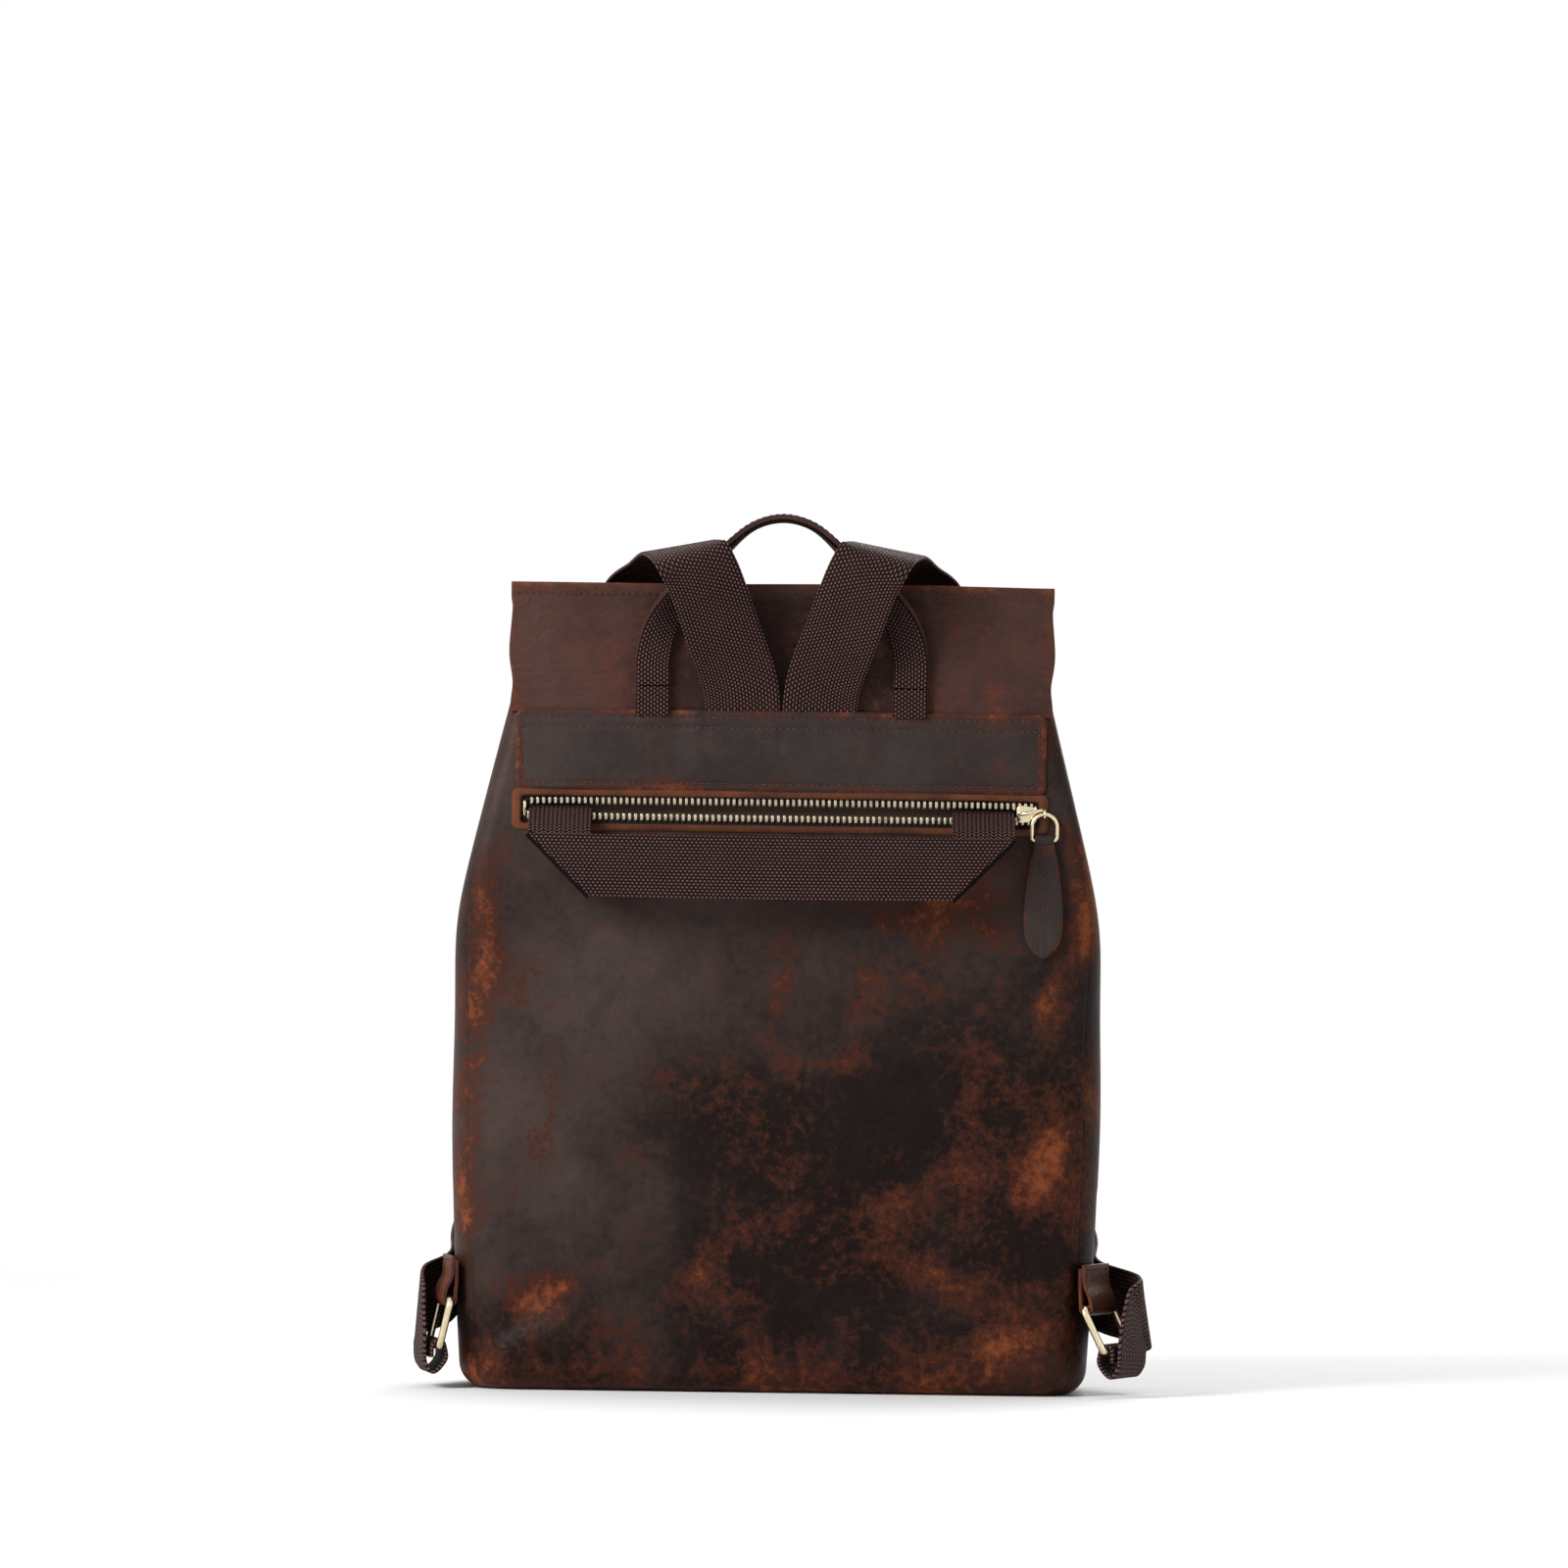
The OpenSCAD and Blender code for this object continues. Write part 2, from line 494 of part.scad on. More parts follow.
// Flap: a riser that turns at the yoke seam and a cover pinched to its top edge
pinch_h = 7;
module flap_riser() color([0.33, 0.2, 0.13]) along_x(-flap_w / 2, flap_w / 2) {
  translate([back_y, hinge_z]) square([leather_t, flap_top - hinge_z]);
  translate([hinge_y, hinge_z]) circle(r = leather_t / 2);
}
cover_y0 = back_y + leather_t * 1.5;
lid_z = flap_top - pinch_h;
fold_r = 14;
fold_z = lid_z - lid_drop - fold_r;
function cover_y(z) = front_y(z) + flap_gap + leather_t / 2;
fold_y = cover_y(fold_z) - fold_r;
cover_path = concat([[cover_y0, flap_top], [cover_y0, lid_z + 3], [cover_y0 + 0.9, lid_z + 0.9]],
  [[cover_y0 + 3, lid_z]],
  [for (a = [80 : -16 : 0]) [fold_y + fold_r * cos(a), fold_z + fold_r * sin(a)]],
  [for (i = [1 : 5]) let(z = mix(fold_z, flap_low, i / 5)) [cover_y(z), z]]);
module flap_cover() color([0.22, 0.16, 0.12]) intersection() {
  along_x(-flap_w / 2, flap_w / 2) polygon(sheet_outline(cover_path, leather_t));
  along_y(back_y - 5, base_d / 2 + 40) polygon(concat(
    [[flap_w / 2, flap_top + 5], [-flap_w / 2, flap_top + 5]],
    arc_pts(-flap_w / 2 + flap_r, flap_low - 2 + flap_r, flap_r, 180, 270, 8),
    arc_pts(flap_w / 2 - flap_r, flap_low - 2 + flap_r, flap_r, 270, 360, 8)));
}

// Closure: a patch and rivets on the flap, a strap that lifts, a magnetic snap
patch_z0 = flap_low + patch_rise;
patch_z1 = patch_z0 + patch_h;
patch_t = 2;
function skin_y(z) = cover_y(z) + leather_t / 2 + ply_gap;
patch_path = [for (i = [0 : 4]) let(z = mix(patch_z0, patch_z1, i / 4)) [skin_y(z) + patch_t / 2, z]];
module closure_patch() color([0.2, 0.14, 0.11]) along_x(-closure_w / 2 - 3, closure_w / 2 + 3)
  polygon(sheet_outline(patch_path, patch_t));
rivet_z = mix(patch_z0, patch_z1, 0.5);
module closure_rivets() color([0.8, 0.64, 0.38]) for (s = [-1, 1])
  translate([s * closure_w * 0.32, skin_y(rivet_z) + patch_t + 0.15, rivet_z]) rotate([-90, 0, 0])
    cylinder(r = 3.5, h = 1.4);
closure_t = 3;
closure_y = max(skin_y(flap_low), skin_y(patch_z0)) + 0.8 + closure_t / 2;
closure_z = patch_z0 - closure_t / 2 - move_gap;
closure_tip = closure_w / 2;
snap_z = closure_z - closure_len + closure_tip;
module closure_strap() color([0.2, 0.14, 0.11]) difference() {
  union() {
    along_y(closure_y - closure_t / 2, closure_y + closure_t / 2) polygon(concat(
      [[closure_w / 2, closure_z], [-closure_w / 2, closure_z]],
      arc_pts(0, snap_z, closure_tip, 180, 360, 16)));
    translate([0, closure_y, closure_z]) rotate([0, 90, 0])
      cylinder(r = closure_t / 2, h = closure_w, center = true);
  }
  translate([0, closure_y, snap_z]) rotate([90, 0, 0]) cylinder(r = 2, h = 20, center = true);
}
socket_y = front_y(snap_z) + 0.4;
socket_t = 1.2;
stud_y = socket_y + socket_t + ply_gap;
module snap_socket() color([0.75, 0.58, 0.3]) translate([0, socket_y, snap_z]) rotate([-90, 0, 0])
  cylinder(r = snap_r - 2, h = socket_t);
module snap_cap() color([0.8, 0.64, 0.38]) translate([0, 0, snap_z]) rotate([-90, 0, 0]) union() {
  translate([0, 0, closure_y + closure_t / 2]) cylinder(r = snap_r, h = 1.3);
  translate([0, 0, closure_y - closure_t / 2 - 0.1]) cylinder(r = 2, h = closure_t + 0.2);
  translate([0, 0, stud_y]) cylinder(r = snap_r - 3, h = closure_y - closure_t / 2 - stud_y);
}

// Top handle: leather backed with webbing, turning from flat at the seam to level at the crest
handle_web = 1.4;
handle_y = back_y - move_gap - handle_ply - (handle_t + handle_web) / 2;
handle_z = seam_h + handle_foot;
handle_axis_y = handle_y + handle_web / 2;
handle_top = flap_top + handle_rise - handle_t;
handle_x = handle_span / 2;
handle_h = handle_top - handle_z;
end_top = handle_z - handle_t / 2 - 0.2;
function handle_dir(p, q, turn) = let(t = unit(q - p)) [t[2], 0, -t[0]] * cos(turn) + [0, sin(turn), 0];
// Shares of the half span, the stand-out and the height, and the turn in degrees
handle_steps = [[1, 0, 0, 0], [1, 0.08, 0.16, 4], [0.95, 0.33, 0.34, 24], [0.81, 0.67, 0.53, 48],
  [0.64, 0.92, 0.665, 68], [0.46, 1, 0.805, 84], [0.24, 1, 0.95, 90], [0, 1, 1, 90]];
handle_half = [for (h = handle_steps)
  [-handle_x * h[0], handle_y - handle_out * h[1], handle_z + handle_h * h[2]]];
handle_dirs = [for (i = [0 : 7])
  handle_dir(handle_half[max(0, i - 1)], handle_half[min(7, i + 1)], handle_steps[i][3])];
function flip(v) = [for (i = [len(v) - 2 : -1 : 0]) [-v[i][0], v[i][1], v[i][2]]];
handle_p = spline(concat(handle_half, flip(handle_half)), 4);
handle_w_dirs = spline(concat(handle_dirs, flip(handle_dirs)), 4);
module top_handle() color([0.25, 0.17, 0.12]) union() {
  strip(handle_p, handle_w_dirs, handle_w, -(handle_t + handle_web) / 2, (handle_t - handle_web) / 2);
  for (s = [-1, 1]) translate([s * handle_x, handle_axis_y, handle_z]) rotate([0, 90, 0])
    cylinder(r = handle_t / 2, h = handle_w, center = true);
}
module handle_ends() color([0.25, 0.17, 0.12]) for (s = [-1, 1])
  box([s * handle_x - handle_w / 2, handle_y - (handle_t + handle_web) / 2, seam_h + ply_gap],
    [s * handle_x + handle_w / 2, handle_y + (handle_t + handle_web) / 2, end_top]);
module handle_webbing() color([0.26, 0.18, 0.13]) strip(handle_p, handle_w_dirs, handle_w - 1,
  (handle_t - handle_web) / 2 + handle_ply, (handle_t + handle_web) / 2 + handle_ply);

// Lower ends: leather tabs against the rounded back edges, rings hanging in them
tab_ply = 1.7;
tab_r = bar_r + pin_gap + tab_ply;
tab_off = tab_r + 0.6;
tab_in = tab_ply + ply_gap - tab_off;
anchor_w = web_w - 3;
edge_x = max(half_w(ring_z - 4), half_w(ring_z + anchor_len + 6)) - back_r;
edge_y = back_y + back_r;
bar_out = back_r + tab_off;
// A point beside the upper bar on the +X side: how far out, how high and how far along it, at the tab's turn
function turned_pt(turn, u, z, v = 0) =
  [edge_x + (bar_out + u) * cos(turn) + v * sin(turn), edge_y - (bar_out + u) * sin(turn) + v * cos(turn), z];
module turned(turn) translate(turned_pt(turn, 0, ring_z)) rotate([0, 0, -turn]) children();
module lying(r, h) rotate([90, 0, 0])
  cylinder(r = r, h = h, center = true);
module strap_anchor(turn) turned(turn) difference() {
  union() {
    lying(tab_r, anchor_w);
    along_y(-anchor_w / 2, anchor_w / 2)
      polygon(sheet_outline([[0, 1], [-0.5, anchor_len * 0.3], [tab_in, anchor_len * 0.7],
        [tab_in, anchor_len]], 2 * tab_ply));
  }
  lying(bar_r + pin_gap, web_w + 10);
}
module strap_anchor_left() color([0.2, 0.14, 0.11]) mirror([1, 0, 0]) strap_anchor(anchor_turn_left);
module strap_anchor_right() color([0.2, 0.14, 0.11]) strap_anchor(anchor_turn_right);

arm_y = web_w / 2 + bar_r + 0.5;
module strap_ring(tilt, turn) turned(turn) rotate([0, -tilt, 0]) {
  for (z = [0, -ring_reach]) translate([0, 0, z]) lying(bar_r, 2 * arm_y);
  for (s = [-1, 1]) {
    translate([0, s * arm_y, -ring_reach]) cylinder(r = bar_r, h = ring_reach);
    for (z = [0, -ring_reach]) translate([0, s * arm_y, z]) sphere(r = bar_r);
  }
}
module strap_ring_left() color([0.8, 0.64, 0.38]) mirror([1, 0, 0])
  strap_ring(ring_tilt_left, anchor_turn_left);
module strap_ring_right() color([0.8, 0.64, 0.38]) strap_ring(ring_tilt_right, anchor_turn_right);

// Shoulder strap on the -X side: from the yoke, over handle and flap, down the front, round to its ring
crest_z = flap_top + strap_crest;
skin_gap = web_t / 2 + 1.6;
lid_front = lid_z - lid_drop;
function front_at(z) = cover_y(z) + leather_t / 2 + skin_gap;
// The last turns round the ring's lower bar on the -X side, for a ring's tilt and its tab's turn
turn_r = bar_r + 0.3 + web_t / 2;
function loop_pt(turn, u, z, v = 0) = let(p = turned_pt(turn, u, z, v)) [-p[0], p[1], p[2]];
function loop_pts(tilt, turn) = let(u = ring_reach * sin(tilt), z = ring_z - ring_reach * cos(tilt))
  let(out = u + turn_r + web_t + 1.2, inner = u - turn_r, dip = max(web_t + 3, z - 12))
  concat([loop_pt(turn, u + 2.6, ring_z - 2, web_w * 0.72), loop_pt(turn, out - 0.3, z + 14.5, web_w / 4),
    loop_pt(turn, out + 0.4, z + 4, 1.5)],
   [for (q = [[out, mix(z, dip, 0.6)], [mix(out, inner, 0.45), dip], [inner - 0.4, mix(z, dip, 0.5)],
       [inner, z], [u - turn_r * 0.7, z + turn_r * 0.72], [u, z + turn_r],
       [u + turn_r * 0.7, z + turn_r * 0.72], [u + turn_r, z], [u + turn_r + 0.1, z - 5]])
     loop_pt(turn, q[0], q[1])]);
// Points round the front edge, and the width direction of a strap going round it at a slope
function corner_pt(z, a, off) = let(r = front_rad(z) + off)
  [-(half_w(z) - front_rad(z)) - r * cos(a), front_y(z) - front_rad(z) + r * sin(a), z];
function wrap_dir(a, b) = [sin(a) * sin(b), cos(a) * sin(b), -cos(b)];
function wrap_z(f) = mix(ring_z, flap_low, f);
function front_pt(x, f) = let(z = mix(flap_low, fold_z, f)) [x, front_at(z), z];
function side_pt(y, f, off) = let(z = wrap_z(f)) [-half_w(z) - off, y, z];
function strap_pts(tilt, turn) = let(x = function (f) -strap_x - strap_out * f)
  let(y = function (f) strap_y - strap_bow * f)
  concat([
    [x(0), strap_y, seam_h - strap_hold], [x(0), strap_y, seam_h - strap_hold / 2],
    [x(0), strap_y, seam_h - 1], [x(0.022), y(0.18), seam_h + riser_h * 0.25],
    [x(0.11), y(0.57), seam_h + riser_h * 0.62], [x(0.21), y(0.96), flap_top + 1],
    [x(0.285), y(1), flap_top + strap_crest * 0.8], [x(0.33), y(0.46), crest_z],
    [x(0.373), y(-0.21), crest_z], [x(0.44), y(-1), crest_z - strap_crest * 0.4],
    [x(0.54), mix(strap_y, fold_y, 0.56), lid_z + skin_gap + 7],
    [x(0.626), fold_y - fold_r * 0.86, lid_front + skin_gap + 4],
    [x(0.68), fold_y + fold_r + 2, fold_z + fold_r * 0.9],
    [x(0.714), front_at(fold_z) + 0.6, fold_z - fold_r * 0.7],
    front_pt(x(0.79), 0.66), front_pt(x(0.89), 0.28), front_pt(x(1), -0.012),
    corner_pt(wrap_z(0.414), 86, skin_gap + 0.6), corner_pt(wrap_z(0.224), 60, skin_gap + 0.9),
    corner_pt(wrap_z(0.1), 30, skin_gap + 1.1), side_pt(web_w / 3, 0.026, skin_gap + 1.2)],
    loop_pts(tilt, turn));
function strap_dirs(turn) = concat([for (i = [0 : 2]) [1, 0, 0]],
  [[1, 0, 0.15], [0.93, 0, 0.34], [0.92, 0.05, 0.36], [0.94, 0.14, 0.3], [0.96, 0.2, 0.22],
   [0.96, 0.24, 0.16], [0.95, 0.3, 0.05], [0.95, 0.28, 0], [0.97, 0.22, 0], [1, 0.1, -0.1], [1, 0, -0.12],
   [1, 0, -0.15], [0.98, 0, -0.18], wrap_dir(90, 78), wrap_dir(86, 66), wrap_dir(60, 52), wrap_dir(30, 31),
   wrap_dir(0, 13), wrap_dir(-turn, 18), wrap_dir(-turn, 50), wrap_dir(-turn, 84)],
  [for (i = [0 : 8]) [-sin(turn), cos(turn), 0]]);
module shoulder_strap(tilt, turn)
  strip(spline(strap_pts(tilt, turn), 3), spline(strap_dirs(turn), 3), web_w, -web_t / 2, web_t / 2);
module shoulder_strap_left() color([0.26, 0.18, 0.13]) shoulder_strap(ring_tilt_left, anchor_turn_left);
module shoulder_strap_right() color([0.26, 0.18, 0.13]) mirror([1, 0, 0])
  shoulder_strap(ring_tilt_right, anchor_turn_right);

back_panel();
front_panel();
side_gusset_left();
side_gusset_right();
base_panel();
base_board();
lining();
mouth_facing();
yoke_band();
zip_pocket_pouch();
zip_tape_upper();
zip_tape_lower();
zip_teeth_upper();
zip_teeth_lower();
zip_end_stops();
trolley_strap_ends();
shoulder_strap_left();
shoulder_strap_right();
strap_anchor_left();
strap_anchor_right();
snap_socket();
flap_riser();
flap_cover();
closure_patch();
closure_rivets();
closure_strap();
snap_cap();
handle_ends();
top_handle();
handle_webbing();
trolley_strap();
zip_slider();
zip_pull_ring();
zip_pull_tab();
strap_ring_left();
strap_ring_right();
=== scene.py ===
"""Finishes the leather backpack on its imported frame: soft panels, webbing, zip, brass and a plain studio.

Shapes are worked out in millimetres, as in the part's source, and become metres when a mesh is made.
"""

from __future__ import annotations

import json
import logging
import math
from dataclasses import dataclass, field
from enum import Enum
from pathlib import Path
from typing import Any, Callable, Iterable, Sequence

import bmesh
import bpy
import numpy as np
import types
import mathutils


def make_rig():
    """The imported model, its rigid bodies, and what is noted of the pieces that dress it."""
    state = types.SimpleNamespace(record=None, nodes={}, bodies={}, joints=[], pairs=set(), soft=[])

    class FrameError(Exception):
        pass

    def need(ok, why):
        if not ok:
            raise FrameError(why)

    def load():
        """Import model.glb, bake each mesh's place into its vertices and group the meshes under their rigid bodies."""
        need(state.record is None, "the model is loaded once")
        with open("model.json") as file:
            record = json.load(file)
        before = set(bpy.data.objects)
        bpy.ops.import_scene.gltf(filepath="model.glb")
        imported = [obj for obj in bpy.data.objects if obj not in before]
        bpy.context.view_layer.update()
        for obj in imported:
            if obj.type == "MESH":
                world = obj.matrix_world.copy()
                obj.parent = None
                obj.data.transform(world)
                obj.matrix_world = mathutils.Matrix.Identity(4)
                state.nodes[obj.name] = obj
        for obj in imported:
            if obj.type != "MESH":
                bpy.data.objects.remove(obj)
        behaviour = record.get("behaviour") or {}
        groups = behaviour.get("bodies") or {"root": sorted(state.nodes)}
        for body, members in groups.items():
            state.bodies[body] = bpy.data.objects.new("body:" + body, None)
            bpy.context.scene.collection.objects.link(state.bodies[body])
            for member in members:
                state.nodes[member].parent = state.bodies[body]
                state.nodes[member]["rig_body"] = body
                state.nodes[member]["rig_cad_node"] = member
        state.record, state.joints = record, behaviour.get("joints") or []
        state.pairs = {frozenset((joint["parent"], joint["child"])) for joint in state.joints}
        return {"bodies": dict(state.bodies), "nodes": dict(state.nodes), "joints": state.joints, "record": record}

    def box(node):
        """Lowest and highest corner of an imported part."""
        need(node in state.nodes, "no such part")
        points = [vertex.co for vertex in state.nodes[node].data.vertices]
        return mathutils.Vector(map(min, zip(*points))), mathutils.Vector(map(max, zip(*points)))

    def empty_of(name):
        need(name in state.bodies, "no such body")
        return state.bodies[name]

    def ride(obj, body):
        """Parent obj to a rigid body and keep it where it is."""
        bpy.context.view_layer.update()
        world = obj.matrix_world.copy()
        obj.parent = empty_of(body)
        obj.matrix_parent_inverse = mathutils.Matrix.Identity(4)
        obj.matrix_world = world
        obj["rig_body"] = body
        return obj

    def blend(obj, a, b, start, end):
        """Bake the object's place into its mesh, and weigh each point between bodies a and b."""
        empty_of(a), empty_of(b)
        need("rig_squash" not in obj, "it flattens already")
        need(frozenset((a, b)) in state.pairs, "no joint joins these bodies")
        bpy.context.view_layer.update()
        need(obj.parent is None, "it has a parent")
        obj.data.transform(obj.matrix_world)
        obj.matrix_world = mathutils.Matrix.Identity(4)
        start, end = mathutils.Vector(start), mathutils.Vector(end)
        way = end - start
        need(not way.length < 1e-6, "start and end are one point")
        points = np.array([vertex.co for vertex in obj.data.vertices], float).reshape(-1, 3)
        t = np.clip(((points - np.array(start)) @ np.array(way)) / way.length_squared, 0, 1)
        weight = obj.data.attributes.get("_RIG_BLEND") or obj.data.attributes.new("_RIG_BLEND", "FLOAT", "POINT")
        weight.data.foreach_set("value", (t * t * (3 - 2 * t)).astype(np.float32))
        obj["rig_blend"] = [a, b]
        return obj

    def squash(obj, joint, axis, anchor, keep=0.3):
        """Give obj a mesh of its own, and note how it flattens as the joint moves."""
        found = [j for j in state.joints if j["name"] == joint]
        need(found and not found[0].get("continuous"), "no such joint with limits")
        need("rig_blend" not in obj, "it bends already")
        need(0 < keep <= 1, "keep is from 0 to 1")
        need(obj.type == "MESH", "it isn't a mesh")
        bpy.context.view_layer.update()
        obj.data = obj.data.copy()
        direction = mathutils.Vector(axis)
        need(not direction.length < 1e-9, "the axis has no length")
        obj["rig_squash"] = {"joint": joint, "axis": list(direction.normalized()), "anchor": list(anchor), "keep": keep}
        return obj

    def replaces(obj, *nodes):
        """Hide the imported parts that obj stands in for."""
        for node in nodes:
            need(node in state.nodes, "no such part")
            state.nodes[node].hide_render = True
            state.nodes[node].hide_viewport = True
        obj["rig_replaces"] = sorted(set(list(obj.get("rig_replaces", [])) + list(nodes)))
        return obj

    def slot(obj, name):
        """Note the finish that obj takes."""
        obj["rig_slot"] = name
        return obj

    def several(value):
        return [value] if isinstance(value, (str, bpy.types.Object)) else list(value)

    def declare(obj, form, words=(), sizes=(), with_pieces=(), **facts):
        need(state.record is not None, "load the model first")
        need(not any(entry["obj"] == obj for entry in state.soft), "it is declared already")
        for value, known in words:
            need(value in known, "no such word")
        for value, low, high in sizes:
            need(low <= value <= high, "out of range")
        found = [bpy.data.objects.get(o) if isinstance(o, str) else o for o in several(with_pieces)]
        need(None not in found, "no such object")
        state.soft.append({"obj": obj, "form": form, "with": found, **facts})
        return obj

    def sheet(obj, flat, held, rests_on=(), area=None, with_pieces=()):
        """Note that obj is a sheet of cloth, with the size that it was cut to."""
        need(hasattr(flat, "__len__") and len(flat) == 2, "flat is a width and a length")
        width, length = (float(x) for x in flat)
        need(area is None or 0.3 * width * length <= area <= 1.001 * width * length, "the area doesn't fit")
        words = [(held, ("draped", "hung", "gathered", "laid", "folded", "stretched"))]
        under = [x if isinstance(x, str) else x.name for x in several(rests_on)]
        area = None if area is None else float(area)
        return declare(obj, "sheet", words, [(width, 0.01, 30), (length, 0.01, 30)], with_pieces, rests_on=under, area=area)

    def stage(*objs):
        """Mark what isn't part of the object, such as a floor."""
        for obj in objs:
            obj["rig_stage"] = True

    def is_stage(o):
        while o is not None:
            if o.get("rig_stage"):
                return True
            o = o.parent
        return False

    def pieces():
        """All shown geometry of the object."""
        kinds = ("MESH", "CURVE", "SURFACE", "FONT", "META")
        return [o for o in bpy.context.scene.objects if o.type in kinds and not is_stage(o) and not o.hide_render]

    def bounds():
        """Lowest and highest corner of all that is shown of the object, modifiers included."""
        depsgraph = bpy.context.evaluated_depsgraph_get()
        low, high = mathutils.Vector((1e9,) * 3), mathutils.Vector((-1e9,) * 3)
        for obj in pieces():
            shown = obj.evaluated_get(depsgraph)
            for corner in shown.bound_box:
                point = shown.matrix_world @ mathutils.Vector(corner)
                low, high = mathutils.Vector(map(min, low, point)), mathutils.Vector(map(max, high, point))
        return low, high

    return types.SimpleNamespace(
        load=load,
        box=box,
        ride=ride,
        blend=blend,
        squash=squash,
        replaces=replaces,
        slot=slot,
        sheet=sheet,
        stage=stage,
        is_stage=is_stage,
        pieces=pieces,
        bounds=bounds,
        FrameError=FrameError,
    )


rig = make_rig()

LOG = logging.getLogger("backpack")
MM = 0.001
ZIP_Z = 281.0
SIZE_FILE = Path("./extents.json")

Array = np.ndarray
Colour = tuple[float, float, float]
Vec3 = tuple[float, float, float]
Settings = dict[str, Any]
Inputs = dict[str | int, Any]
Rule = Callable[[int], int] | int


# Curves and small helpers


def ease(t: Array | float) -> Array:
    """Smooth step from 0 to 1."""
    c = np.clip(t, 0.0, 1.0)
    return c * c * (3.0 - 2.0 * c)


def mix(a: Any, b: Any, t: Any) -> Any:
    """Linear blend of a and b."""
    return a + (b - a) * t


def bell(d: Array | float, width: float) -> Array:
    """Bell curve of a distance."""
    return np.exp(-((d / width) ** 2))


def unit(v: Array) -> Array:
    """Scales vectors to length 1."""
    return v / np.maximum(np.linalg.norm(v, axis=-1, keepdims=True), 1e-12)


def spline(points: Sequence[Sequence[float]] | Array, n: int) -> Array:
    """Smooth curve through points, with the same rule as the part's source.

    Args:
        points: Points or directions to pass through.
        n: Steps between two of them.

    Returns:
        The points of the curve.
    """
    p = np.asarray(points, float)
    padded = np.concatenate([p[:1], p, p[-1:]])
    t = (np.arange(n) / n)[None, :, None]
    a, b, c, d = (padded[i : i + len(p) - 1, None, :] for i in range(4))
    curve = 0.5 * (2 * b + (c - a) * t + (2 * a - 5 * b + 4 * c - d) * t**2 + (3 * b - a - 3 * c + d) * t**3)
    return np.concatenate([curve.reshape(-1, p.shape[1]), p[-1:]])


def arc(cx: float, cy: float, r: float, a0: float, a1: float, n: int) -> Array:
    """Points of a circular arc."""
    a = np.radians(np.linspace(a0, a1, n + 1))
    return np.stack([cx + r * np.cos(a), cy + r * np.sin(a)], -1)


def rounded_box(x0: float, x1: float, z0: float, z1: float, r: float, n: int = 6) -> Array:
    """Closed outline of a rectangle with round corners.

    Args:
        x0: Left side.
        x1: Right side.
        z0: Lower side.
        z1: Upper side.
        r: Corner radius.
        n: Steps in a corner.

    Returns:
        Points of the outline, with the first one repeated at the end.
    """
    corners = [(x1 - r, z0 + r, -90), (x1 - r, z1 - r, 0), (x0 + r, z1 - r, 90), (x0 + r, z0 + r, 180)]
    ring = np.concatenate([arc(cx, cz, r, a, a + 90, n) for cx, cz, a in corners])
    return np.concatenate([ring, ring[:1]])


def along(path: Array) -> Array:
    """Length along a path up to each of its points."""
    return np.concatenate([[0.0], np.cumsum(np.linalg.norm(np.diff(path, axis=0), axis=1))])


def evenly(path: Array, step: float) -> Array:
    """The same path with points at an even distance.

    Args:
        path: Points of the path.
        step: Distance wanted between points.

    Returns:
        The new points.
    """
    s = along(path)
    at = np.linspace(0.0, s[-1], max(2, int(round(s[-1] / step)) + 1))
    return np.stack([np.interp(at, s, path[:, k]) for k in range(path.shape[1])], -1)


def grid_normals(grid: Array) -> Array:
    """Normals of a grid of points whose rows go up and whose columns go anticlockwise seen from above."""
    return unit(np.cross(np.gradient(grid, axis=1), np.gradient(grid, axis=0)))


def tangents(path: Array, closed: bool = False) -> Array:
    """Directions along a path."""
    return unit(np.roll(path, -1, 0) - np.roll(path, 1, 0) if closed else np.gradient(path, axis=0))


def xyz(x: Any, y: Any, z: Any) -> Array:
    """Points from coordinates that are spread to one shape."""
    return np.stack(np.broadcast_arrays(x, y, z), -1).astype(float)


def rounded(half: float, r: float, near: Array) -> Array:
    """Half widths of a flat shape with round corners."""
    short = np.clip(r - near, 0, r)
    return half - r + np.sqrt(np.maximum(r**2 - short**2, 0.0))


def link(name: str, data: Any) -> bpy.types.Object:
    """Puts a new object in the scene.

    Args:
        name: Name of the object.
        data: Its mesh, camera or lamp.

    Returns:
        The object.
    """
    made = bpy.data.objects.new(name, data)
    bpy.context.scene.collection.objects.link(made)
    return made


def flat_profile(width: float, thickness: float, across: int = 10) -> Array:
    """Section of a webbing strip with rounded selvedges.

    Args:
        width: Width of the strip.
        thickness: Thickness of the strip.
        across: Steps across each face.

    Returns:
        Closed section as pairs of across and out.
    """
    r = thickness / 2
    xs = np.linspace(-width / 2 + r, width / 2 - r, across + 1)
    faces = [np.stack([xs, np.full_like(xs, y)], -1) for y in (r, -r)]
    left = arc(-width / 2 + r, 0, r, 90, 270, 4)[1:-1]
    right = arc(width / 2 - r, 0, r, -90, 90, 4)[1:-1]
    return np.concatenate([faces[0][::-1], left, faces[1], right])


def cut_profile(width: float, low: float, high: float, across: int = 6, chamfer: float = 0.3) -> Array:
    """Section of a leather strip with cut edges.

    Args:
        width: Width of the strip.
        low: Offset of its underside.
        high: Offset of its upper side.
        across: Steps across each face.
        chamfer: Size of the softened corners.

    Returns:
        Closed section as pairs of across and out.
    """
    xs = np.linspace(-width / 2 + chamfer, width / 2 - chamfer, across + 1)
    top = np.stack([xs, np.full_like(xs, high)], -1)[::-1]
    bottom = np.stack([xs, np.full_like(xs, low)], -1)
    left = np.array([[-width / 2, high - chamfer], [-width / 2, low + chamfer]])
    right = np.array([[width / 2, low + chamfer], [width / 2, high - chamfer]])
    return np.concatenate([top, left, bottom, right])


# Shader and geometry node graphs


